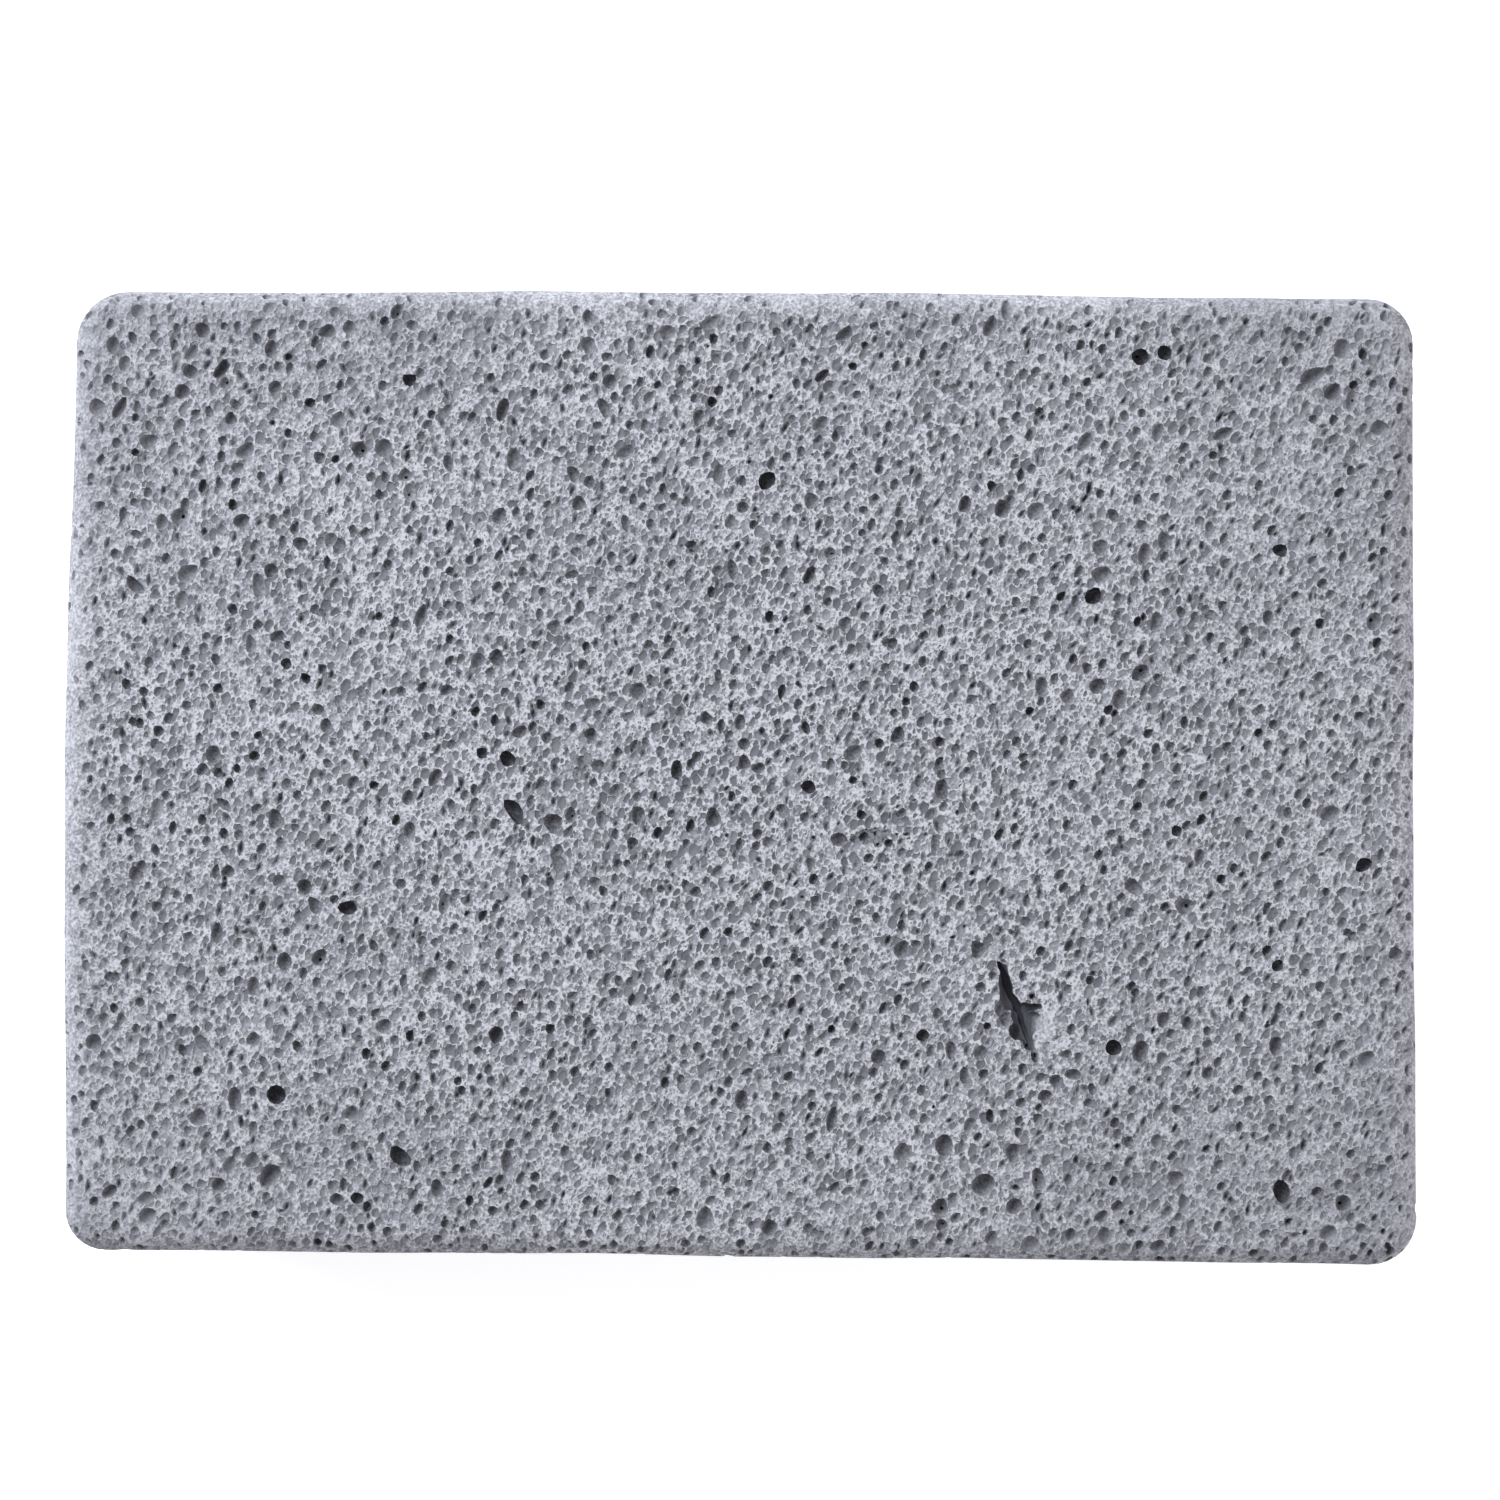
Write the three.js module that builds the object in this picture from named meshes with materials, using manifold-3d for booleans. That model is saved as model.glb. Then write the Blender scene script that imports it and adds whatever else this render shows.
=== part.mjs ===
// A grill stone: one hand-sized block of light grey foamed stone, sawn to shape, for scouring a hot grill.
// Its four upright corners and all its rims are worn round, and the cut bubbles of the foam pit every face.
// Units are millimetres. +X runs along the length, +Y across the width and +Z up.
// The origin is the middle of the face that the block lies on.
import * as THREE from "three";
import { mergeVertices } from "three/addons/utils/BufferGeometryUtils.js";
import Module from "manifold-3d";

const wasm = await Module();
wasm.setup();

// The block's driving dimensions
const LENGTH = 100;
const WIDTH = 72;
const THICKNESS = 35;
const RIM_RADIUS = 1.6;
const RIM_STEPS = 3;
const CORNER_STEPS = 4;

// How far the sawn sides stray from a true rectangle
const SAW_SKEW = 1;
const SAW_TAPER = 0.4;
const WAVE_HEIGHT = 0.12;
const WAVE_LENGTHS = [31, 13];
const SIDE_POINT_SPACING = 8;

// How deep a pit is for its half width: shallow, middling and deep
const DEPTH_RATIOS = [0, 0.9, 1.3, 1.9];
const PIT_SIDES = 7;
const PIT_MOUTH = 0.6;

// The pits scattered over the faces that have none set by hand
const SCATTER_SMALLEST = 0.5;
const SCATTER_LARGEST = 1.1;
const SCATTER_CLEARANCE = 1.5;
const FACE_MARGIN = 3;
const BARE_RADIUS = 3;
const TRIES_PER_PIT = 40;

// The pits that stand out on the worked face: x, y, half length, half width, turn in degrees, depth grade
const TOP_PITS = {
  upperLeft: [
    [-30.7, 33.1, 0.71, 0.52, 15, 2], [-29.1, 33.4, 0.52, 0.52, 0, 1], [-40, 33.2, 0.6, 0.6, 0, 1],
    [-40.8, 31.5, 0.67, 0.48, 50, 1], [-40.9, 30.1, 0.6, 0.56, 0, 2], [-41.5, 28.6, 0.63, 0.6, 0, 2],
    [-34.9, 31.8, 0.67, 0.52, 90, 1], [-24.6, 29.5, 0.52, 0.48, 0, 3], [-44, 24.9, 0.71, 0.6, 20, 1],
    [-28.3, 24.3, 0.63, 0.63, 0, 2], [-26.5, 24.4, 0.74, 0.71, 90, 1], [-45.8, 30.7, 0.67, 0.45, 85, 1],
    [-24.9, 22.4, 0.56, 0.52, 0, 1], [-41.7, 19.3, 0.74, 0.63, 60, 1], [-37.1, 19, 0.63, 0.56, 0, 2],
    [-41.1, 15.1, 0.89, 0.63, 40, 1], [-34.9, 15.3, 0.56, 0.56, 0, 2], [-35.8, 14.1, 1.04, 0.52, 100, 1],
    [-32.7, 17.3, 0.6, 0.52, 0, 1], [-34.4, 10.4, 0.6, 0.48, 20, 2], [-36.4, 9.8, 0.74, 0.41, 100, 1],
  ],
  upperMiddle: [
    [-11.3, 32.1, 0.67, 0.56, 80, 1], [-9.7, 29.4, 0.6, 0.52, 60, 2], [-10.1, 27.4, 0.82, 0.45, 110, 2],
    [-3.1, 26.7, 0.67, 0.41, 75, 2], [-5.4, 33, 0.67, 0.6, 0, 1], [-16.8, 23.6, 0.82, 0.63, 95, 1],
    [-21.7, 23.3, 0.67, 0.41, 105, 2], [-12.4, 22.5, 0.67, 0.45, 110, 2], [-1.6, 22.5, 0.82, 0.45, 85, 1],
    [2, 22, 0.74, 0.6, 60, 3], [-12, 20.3, 0.6, 0.52, 30, 2], [-8.5, 18.8, 0.74, 0.37, 105, 2],
    [5.3, 20.5, 0.6, 0.6, 0, 1], [6, 26.2, 0.67, 0.56, 45, 1], [-18.1, 8.8, 0.67, 0.6, 110, 2],
    [-19.5, 8.6, 0.6, 0.6, 0, 1], [-13.8, 11.1, 0.6, 0.52, 130, 1],
  ],
  upperRight: [
    [29.8, 31.2, 0.67, 0.63, 0, 3], [31.6, 31.5, 0.56, 0.56, 0, 3], [42.6, 29.8, 1.04, 0.6, 30, 2],
    [44.1, 28.6, 0.74, 0.6, 40, 2], [44.8, 31.8, 0.82, 0.67, 100, 1], [35.9, 25.5, 0.78, 0.45, 20, 2],
    [31.1, 25.6, 0.74, 0.45, 70, 1], [47.6, 25.9, 0.71, 0.63, 0, 1], [40.2, 16.8, 0.6, 0.45, 160, 3],
    [26.9, 15, 0.78, 0.67, 20, 1], [26.3, 13.4, 0.67, 0.6, 60, 3], [27.8, 19.4, 0.6, 0.41, 120, 2],
    [31.6, 17.5, 0.67, 0.6, 90, 1], [47.2, 11.5, 0.71, 0.63, 60, 1], [39.3, 11.8, 0.6, 0.45, 100, 2],
    [26.6, 6.7, 0.67, 0.6, 20, 2], [24.4, 5.9, 0.67, 0.52, 100, 1], [29.8, 7.7, 0.74, 0.6, 20, 2],
  ],
  middle: [
    [-16.8, -2.6, 1.08, 0.56, 122, 3], [-17.3, 1.3, 0.63, 0.56, 100, 3], [-13.9, -3.5, 0.82, 0.71, 120, 2],
    [-12.6, -2.9, 0.6, 0.45, 80, 2], [-10.5, 0.7, 0.6, 0.52, 130, 1], [-22.7, -0.1, 0.71, 0.48, 60, 2],
    [-10.3, -3.2, 0.63, 0.48, 100, 1], [-39.2, 1.6, 0.74, 0.6, 90, 3], [-40, 0.5, 0.52, 0.45, 30, 2],
    [-21.8, 6.4, 0.6, 0.41, 10, 2], [-16.4, 3.3, 0.6, 0.48, 20, 2], [5.1, -0.8, 0.56, 0.48, 0, 3],
    [-24.7, -1.6, 0.6, 0.45, 80, 2], [-24.6, -4, 0.67, 0.45, 90, 2], [0, 4, 0.6, 0.45, 90, 2],
    [7.3, -4.7, 0.63, 0.56, 150, 1], [9.2, -4.5, 0.67, 0.48, 10, 2], [10.1, -4, 0.45, 0.37, 0, 2],
    [11, -5, 0.45, 0.41, 0, 3], [15, -1, 0.82, 0.56, 95, 2], [34.2, -6, 0.63, 0.41, 80, 2],
    [33.1, -9.7, 0.71, 0.67, 0, 1], [46.4, -6.6, 0.63, 0.52, 30, 3], [43.9, -2.8, 0.74, 0.67, 30, 1],
  ],
  lowerLeft: [
    [-29.2, -9.8, 0.67, 0.56, 5, 3], [-38.9, -11.7, 0.82, 0.48, 100, 2], [-43.4, -9.7, 0.45, 0.41, 0, 2],
    [-33.9, -13.8, 0.71, 0.6, 90, 2], [-31.3, -13.5, 0.67, 0.6, 70, 3], [-48.1, -19.8, 0.67, 0.63, 30, 2],
    [-36.2, -19.6, 0.56, 0.56, 0, 1], [-34.5, -23.7, 0.74, 0.71, 45, 3], [-37.6, -24, 0.89, 0.56, 95, 2],
    [-40.3, -25.4, 0.67, 0.67, 0, 1], [-35, -29.7, 0.93, 0.78, 60, 2], [-38.8, -30.4, 0.56, 0.52, 0, 2],
    [-36.3, -28.6, 0.67, 0.56, 80, 1], [-46.9, -30.9, 0.63, 0.48, 40, 2], [-44.2, -31.4, 0.67, 0.48, 0, 1],
    [-44.1, -32.7, 0.71, 0.6, 15, 1], [-25.3, -28.3, 0.93, 0.6, 140, 3], [-30, -31.5, 0.52, 0.52, 0, 2],
    [-28.5, -31.4, 0.52, 0.41, 0, 3], [-28.9, -25.1, 0.6, 0.56, 0, 1], [-23.1, -14.9, 0.74, 0.6, 60, 1],
    [-26.5, -18.6, 0.63, 0.56, 45, 1], [2.2, -33.6, 0.67, 0.6, 0, 2], [-2.6, -32.9, 0.89, 0.67, 90, 1],
  ],
  lowerRight: [
    [15.2, -27.5, 0.89, 0.71, 95, 3], [20.3, -28, 0.74, 0.56, 80, 2], [18.1, -30.4, 0.97, 0.82, 60, 2],
    [14.9, -32.1, 0.71, 0.63, 0, 2], [20.4, -32, 0.67, 0.6, 0, 2], [22.2, -30, 0.89, 0.52, 95, 2],
    [27.8, -20.2, 0.63, 0.6, 160, 3], [29.8, -20.5, 0.89, 0.63, 75, 2], [31.5, -18.1, 0.63, 0.52, 90, 2],
    [34.8, -22.1, 0.52, 0.45, 60, 2], [12.1, -28, 0.74, 0.67, 70, 1], [31.1, -35, 0.63, 0.52, 20, 2],
    [26.9, -32.8, 0.6, 0.45, 40, 2], [28.1, -32, 0.48, 0.45, 0, 2], [32.4, -29.9, 0.63, 0.6, 0, 1],
    [21.6, -34.9, 0.82, 0.67, 0, 1], [40.3, -30.9, 0.89, 0.63, 95, 3], [44.9, -31.8, 0.67, 0.63, 0, 2],
    [43.8, -34, 0.71, 0.6, 0, 1], [48.8, -13.2, 0.63, 0.48, 10, 2], [40, -14.1, 0.48, 0.41, 20, 3],
    [46.6, -21, 0.71, 0.56, 30, 1], [17.7, -12.9, 0.71, 0.56, 100, 2], [23.5, -22.7, 0.56, 0.48, 100, 2],
    [24.8, -22.2, 0.63, 0.45, 170, 2], [16.9, -18.2, 0.71, 0.56, 60, 1], [17.9, -20.6, 0.6, 0.56, 0, 1],
  ],
};

// The split in the worked face: its jagged mouth, its middle line, its depth and its floor's share of its width
const SPLIT_MOUTH = [
  [19, -13.8], [19.2, -15.2], [19.4, -17.5], [20.2, -18.8], [21.1, -19.9], [21.7, -20.6], [22.3, -21.3],
  [21.9, -19.6], [22.2, -18.7], [22.4, -17.6], [21.7, -16.9], [20.9, -16.7], [20.3, -16], [19.9, -14.9],
];
const SPLIT_LINE = [[19.1, -13.8], [22.3, -21.3]];
const SPLIT_DEPTH = 2.4;
const SPLIT_FLOOR_WIDTH = 0.4;

const RADIANS = Math.PI / 180;

// The share of a whole turn left by a fast sine: one repeatable number from 0 to 1 for each index and channel
function chance(index, channel) {
  const value = Math.sin(index * 127.1 + channel * 311.7) * 43758.5453;
  return value - Math.floor(value);
}

// The solid that a closed geometry bounds, with its repeated vertices merged
function solidOf(geometry) {
  const flat = geometry.index ? geometry.toNonIndexed() : geometry;
  const bare = new THREE.BufferGeometry();
  bare.setAttribute("position", flat.getAttribute("position"));
  const merged = mergeVertices(bare, 1e-4);
  const index = merged.index.array;
  const kept = [];
  for (let i = 0; i < index.length; i += 3) {
    const [a, b, c] = [index[i], index[i + 1], index[i + 2]];
    if (a !== b && b !== c && c !== a) kept.push(a, b, c);
  }
  return new wasm.Manifold(new wasm.Mesh({
    numProp: 3,
    vertProperties: merged.attributes.position.array,
    triVerts: new Uint32Array(kept),
  }));
}

// A solid's faces as a flat-shaded geometry
function geometryOf(solid) {
  const mesh = solid.getMesh();
  const geometry = new THREE.BufferGeometry();
  geometry.setAttribute("position", new THREE.BufferAttribute(new Float32Array(mesh.vertProperties), 3));
  geometry.setIndex(new THREE.BufferAttribute(new Uint32Array(mesh.triVerts), 1));
  const faceted = geometry.toNonIndexed();
  faceted.computeVertexNormals();
  return faceted;
}

// The corners of the sawn outline before they are worn round, anticlockwise from the lower left
const corners = [
  new THREE.Vector2(-LENGTH / 2, -WIDTH / 2 + SAW_TAPER),
  new THREE.Vector2(LENGTH / 2, -WIDTH / 2),
  new THREE.Vector2(LENGTH / 2, WIDTH / 2 - SAW_TAPER),
  new THREE.Vector2(-LENGTH / 2 + SAW_SKEW, WIDTH / 2),
];
const CORNER_RADII = [2.9, 3.4, 3.2, 2.9];

// One sawn side: where it starts, which way it runs and faces, and how long it is
const sides = corners.map((from, i) => {
  const to = corners[(i + 1) % corners.length];
  const along = to.clone().sub(from).normalize();
  return { from, along, out: new THREE.Vector2(along.y, -along.x), length: from.distanceTo(to), number: i };
});

// How far a side stands back from its straight line at a distance along it; it is 0 at both ends
function wave(side, distance) {
  const fade = Math.sin(Math.PI * THREE.MathUtils.clamp(distance / side.length, 0, 1));
  const swing = WAVE_LENGTHS.map((length, i) =>
    Math.sin((2 * Math.PI * distance) / length + 2 * side.number + i) / (i + 1));
  return -WAVE_HEIGHT * fade * (1 + 0.5 * (swing[0] + swing[1]));
}

function pointOnSide(side, distance) {
  return side.from.clone()
    .addScaledVector(side.along, distance)
    .addScaledVector(side.out, wave(side, distance));
}

// The worn outline: for each corner an arc, then the wavy run to the next corner
function outline() {
  const points = [];
  sides.forEach((side, i) => {
    const before = sides[(i + 3) % 4];
    const radius = CORNER_RADII[i];
    const centre = side.from.clone()
      .addScaledVector(side.along, radius)
      .addScaledVector(before.along, -radius);
    const start = before.out.angle();
    const sweep = side.out.clone().rotateAround(new THREE.Vector2(), -start).angle();
    for (let step = 0; step <= CORNER_STEPS; step++) {
      const angle = start + (sweep * step) / CORNER_STEPS;
      points.push(new THREE.Vector2(Math.cos(angle), Math.sin(angle)).multiplyScalar(radius).add(centre));
    }
    const run = side.length - radius - CORNER_RADII[(i + 1) % 4];
    const parts = Math.round(run / SIDE_POINT_SPACING);
    for (let part = 1; part < parts; part++) {
      points.push(pointOnSide(side, radius + (run * part) / parts));
    }
  });
  return points;
}

// The bare block: the outline carried up through the thickness, with both rims worn round
function block() {
  const geometry = new THREE.ExtrudeGeometry(new THREE.Shape(outline()), {
    depth: THICKNESS - 2 * RIM_RADIUS,
    bevelThickness: RIM_RADIUS,
    bevelSize: RIM_RADIUS,
    bevelOffset: -RIM_RADIUS,
    bevelSegments: RIM_STEPS,
  });
  return solidOf(geometry.translate(0, 0, RIM_RADIUS));
}

// One face of the block: its centre, the directions across, up and out of it, and its size
function face(centre, across, up, width, height) {
  const out = across.clone().cross(up);
  return { width, height, matrix: new THREE.Matrix4().makeBasis(across, up, out).setPosition(centre) };
}

const X = new THREE.Vector3(1, 0, 0);
const Y = new THREE.Vector3(0, 1, 0);
const Z = new THREE.Vector3(0, 0, 1);
const topFace = face(new THREE.Vector3(0, 0, THICKNESS), X, Y, LENGTH, WIDTH);
const bottomFace = face(new THREE.Vector3(0, 0, 0), X, Y.clone().negate(), LENGTH, WIDTH);
const sideFaces = sides.map((side) => {
  const middle = side.from.clone().addScaledVector(side.along, side.length / 2);
  const across = new THREE.Vector3(side.along.x, side.along.y, 0);
  return {
    side,
    ...face(new THREE.Vector3(middle.x, middle.y, THICKNESS / 2), across, Z, side.length, THICKNESS),
  };
});

// How far the block's skin stands back from a face's flat plane at a place on it
function setBack(where, x) {
  return where.side ? wave(where.side, x + where.side.length / 2) : 0;
}

// The cutter for one pit: a cup turned about its axis, stretched, turned and set into its face
function pitCutter(where, [x, y, halfLength, halfWidth, turn, depth]) {
  const profile = [
    [0, -depth], [0.66, -0.82 * depth], [1, 0], [1, PIT_MOUTH], [0, PIT_MOUTH],
  ].map(([radius, height]) => new THREE.Vector2(radius, height));
  const cup = solidOf(new THREE.LatheGeometry(profile, PIT_SIDES).rotateX(Math.PI / 2));
  const place = where.matrix.clone()
    .multiply(new THREE.Matrix4().makeTranslation(x, y, setBack(where, x)))
    .multiply(new THREE.Matrix4().makeRotationZ(turn * RADIANS))
    .multiply(new THREE.Matrix4().makeScale(halfLength, halfWidth, 1));
  return cup.transform(place.elements);
}

// Pits thrown one by one at a face; one too near an earlier pit, or a place kept bare, is thrown again
function scatter(where, count, channel, bare) {
  const pits = [];
  for (let i = 0; pits.length < count && i < count * TRIES_PER_PIT; i++) {
    const x = (chance(i, channel) - 0.5) * (where.width - 2 * FACE_MARGIN);
    const y = (chance(i, channel + 0.1) - 0.5) * (where.height - 2 * FACE_MARGIN);
    const size = SCATTER_SMALLEST + (SCATTER_LARGEST - SCATTER_SMALLEST) * chance(i, channel + 0.2) ** 3;
    const stretch = 1 + 0.5 * chance(i, channel + 0.3) ** 2;
    const clear = pits.every((pit) => Math.hypot(pit[0] - x, pit[1] - y) > SCATTER_CLEARANCE * (pit[2] + size));
    if (clear && Math.hypot(x, y) > bare) {
      const grade = 1 + Math.floor(3 * chance(i, channel + 0.4));
      const turn = 180 * chance(i, channel + 0.5);
      pits.push([x, y, size * stretch, size, turn, size * DEPTH_RATIOS[grade]]);
    }
  }
  return pits.map((pit) => pitCutter(where, pit));
}

// The cutter for the split: its mouth drawn out in depth, with the floor pulled in towards its middle line
function splitCutter() {
  const mouth = new THREE.Shape(SPLIT_MOUTH.map(([x, y]) => new THREE.Vector2(x, y)));
  const geometry = new THREE.ExtrudeGeometry(mouth, { depth: SPLIT_DEPTH + PIT_MOUTH, bevelEnabled: false });
  const position = geometry.getAttribute("position");
  const [start, end] = SPLIT_LINE;
  for (let i = 0; i < position.count; i++) {
    if (position.getZ(i) < SPLIT_DEPTH) {
      const share = (position.getY(i) - start[1]) / (end[1] - start[1]);
      const middle = THREE.MathUtils.lerp(start[0], end[0], share);
      position.setX(i, THREE.MathUtils.lerp(middle, position.getX(i), SPLIT_FLOOR_WIDTH));
    }
  }
  return solidOf(geometry).translate([0, 0, THICKNESS - SPLIT_DEPTH]);
}

// The whole stone: the block less its split and all its pits
function stone() {
  const setByHand = Object.values(TOP_PITS).flat().map(([x, y, halfLength, halfWidth, turn, grade]) =>
    pitCutter(topFace, [x, y, halfLength, halfWidth, turn, halfWidth * DEPTH_RATIOS[grade]]));
  const cutters = [
    splitCutter(),
    ...setByHand,
    ...scatter(bottomFace, 44, 1, BARE_RADIUS),
    ...sideFaces.flatMap((where, i) => scatter(where, Math.round(where.width / 4), 2 + i, 0)),
  ];
  const pitted = cutters.reduce((solid, cutter) => solid.subtract(cutter), block());
  const mesh = new THREE.Mesh(
    geometryOf(pitted),
    new THREE.MeshStandardMaterial({ color: 0x9b9da6, roughness: 0.95, metalness: 0, flatShading: true }),
  );
  mesh.name = "stone";
  return mesh;
}

const grillStone = new THREE.Group();
grillStone.add(stone());

export default grillStone;
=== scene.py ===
import math

import bmesh
import bpy
import numpy as np
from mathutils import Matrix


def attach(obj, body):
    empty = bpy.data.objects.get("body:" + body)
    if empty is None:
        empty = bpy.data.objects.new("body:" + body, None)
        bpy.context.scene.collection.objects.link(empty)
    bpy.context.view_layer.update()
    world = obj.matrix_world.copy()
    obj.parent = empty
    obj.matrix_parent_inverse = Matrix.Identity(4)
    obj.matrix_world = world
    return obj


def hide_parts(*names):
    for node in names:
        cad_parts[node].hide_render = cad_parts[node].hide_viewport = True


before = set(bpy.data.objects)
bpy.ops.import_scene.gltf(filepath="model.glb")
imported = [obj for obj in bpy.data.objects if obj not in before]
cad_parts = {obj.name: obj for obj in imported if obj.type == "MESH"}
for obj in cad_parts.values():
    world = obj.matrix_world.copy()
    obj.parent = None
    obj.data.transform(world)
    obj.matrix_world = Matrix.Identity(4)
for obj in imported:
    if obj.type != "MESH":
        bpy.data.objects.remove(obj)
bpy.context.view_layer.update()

# A grill stone: one sawn block of pale grey foamed stone, its corners and rims worn round.
# Lengths below are in millimetres; MM turns them into metres where a mesh or a light is made.
MM = 0.001
SEED = 11
rng = np.random.default_rng(SEED)

# The sawn block. Its corners stand in from a true rectangle by so much along x and y, and its sides bulge
# out by so much in their middles, each list from the lower left anticlockwise
LENGTH = 100
WIDTH = 72
THICKNESS = 35
RIM_RADIUS = 1.6
CORNER_INSETS = ((0.2, 1.15), (0, 0), (0.25, 0.65), (1.1, 0.1))
CORNER_RADII = np.array([3, 3.5, 3.4, 3.8])
SIDE_BULGES = (0, 0, 0.35, 0.6)
WAVE_HEIGHT = 0.1
WAVE_LENGTHS = (31, 13)
# How finely it is meshed: each half corner, each rim, the long and the short sides and the wall's height; and
# how near two of its points are one
ARC_STEPS = 4
RIM_STEPS = 4
RUN_STEPS = (34, 24)
WALL_STEPS = 11
MERGE_WITHIN = 0.001
# The slight hills of its skin: their height and lengths, how each is turned from the last and shifted, and
# how steeply they climb
UNEVENNESS = 0.03
UNEVEN_LENGTHS = (9, 14, 23)
UNEVEN_TURN = 2.1
UNEVEN_SHIFT = 1.7
UNEVEN_CLIMB = 0.7
# Powder along the upper rim, side by side: how strong it is and how far in it reaches. It is set strongest
# and widest on the left and upper rims, which face the light, and weakest on the lower one, in shade, so
# besides the real powder it paints light. Down the sides it fades out over POWDER_DROP rim radii, and it
# closes a bubble where it is stronger than a chance number
POWDER_AND_LIGHT_BANDS = ((0.35, 1), (1, 1.7), (1.1, 2.2), (1.1, 2.8))
POWDER_DROP = 3
POWDER_CLOSES = (0.3, 1)

# The open bubbles thrown by chance: the least and the most half width of each class, and how much commoner
# its small ones are; then how many are thrown at the worked face and at the rest of the skin, and how many
# of these stay
SIZES = {"large": (0.42, 0.66), "middling": (0.28, 0.42), "small": (0.2, 0.28)}
SIZE_RARITY = {"large": 2.5, "middling": 1.4, "small": 1}
TOP_THROWS = {"large": 500, "middling": 12000, "small": 4000}
OTHER_THROWS = {"large": 1600, "middling": 5000, "small": 0}
TOP_KEPT = {"large": 50, "middling": 3040, "small": 400}
OTHER_KEPT = {"large": 330, "middling": 1100, "small": 0}
# The least web between two of them, and how far the cup that cuts one stands out of the skin
BUBBLE_GAP = 0.04
MOUTH_HEIGHT = 0.5
# How much longer than wide they are: at least, at most more than that, and how much rarer the long ones are
LEAST_STRETCH = 1.05
MORE_STRETCH = 1.1
STRETCH_RARITY = 1.4
# Which way they are drawn out, in degrees, how far that swings with each mm of x, and its spread in radians
GRAIN_TURN = 78
GRAIN_SWING = 0.35
GRAIN_SPREAD = 0.38
# How dark their walls are, from 0 to 1, partly their own tone and partly painted shade, and which share is
# painted black as shade, with these ones' darkness and share of the stretch
TONE_AND_PAINTED_SHADE = 0.38
TONE_AND_PAINTED_SHADE_SPREAD = 0.14
TONE_AND_PAINTED_SHADE_LIMITS = (0.1, 0.7)
BLACK_SHARE = {"large": 0.01, "middling": 0.03, "small": 0.03}
BLACK_PAINTED_SHADES = (0.72, 0.95)
BLACK_STRETCH = 0.4
# Their depth over their half width: so much for the palest, so much more for the darkest, times a chance
# number; and the same for those listed
THROWN_DEPTH = 0.45
THROWN_DEPTH_BY_TONE = 1.3
DEPTH_CHANCE = (0.8, 1.2)
HAND_DEPTH = 0.7
HAND_DEPTH_BY_TONE = 1.1
# The smaller twins that some have run together with: their share of all, their size and how far off they
# lie as shares, and the spread of their turn and of their tone and painted shade
TWIN_SHARE = 0.12
TWIN_SIZES = (0.55, 0.95)
TWIN_REACH = (0.62, 0.8)
TWIN_TURN_SPREAD = 0.6
TWIN_TONE_AND_PAINTED_SHADE_SPREAD = 0.2
# The black holes in the floors of some large ones, painted black as shade: their share of these, how far
# aside and how deep they start, their half length, half width and depth, all as shares of the large one's
HOLE_SHARE = 0.08
HOLE_ASIDE = 0.3
HOLE_START = 0.55
HOLE_LONG = 0.42
HOLE_SHORT = 0.34
HOLE_DEPTH = 1.1
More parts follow.
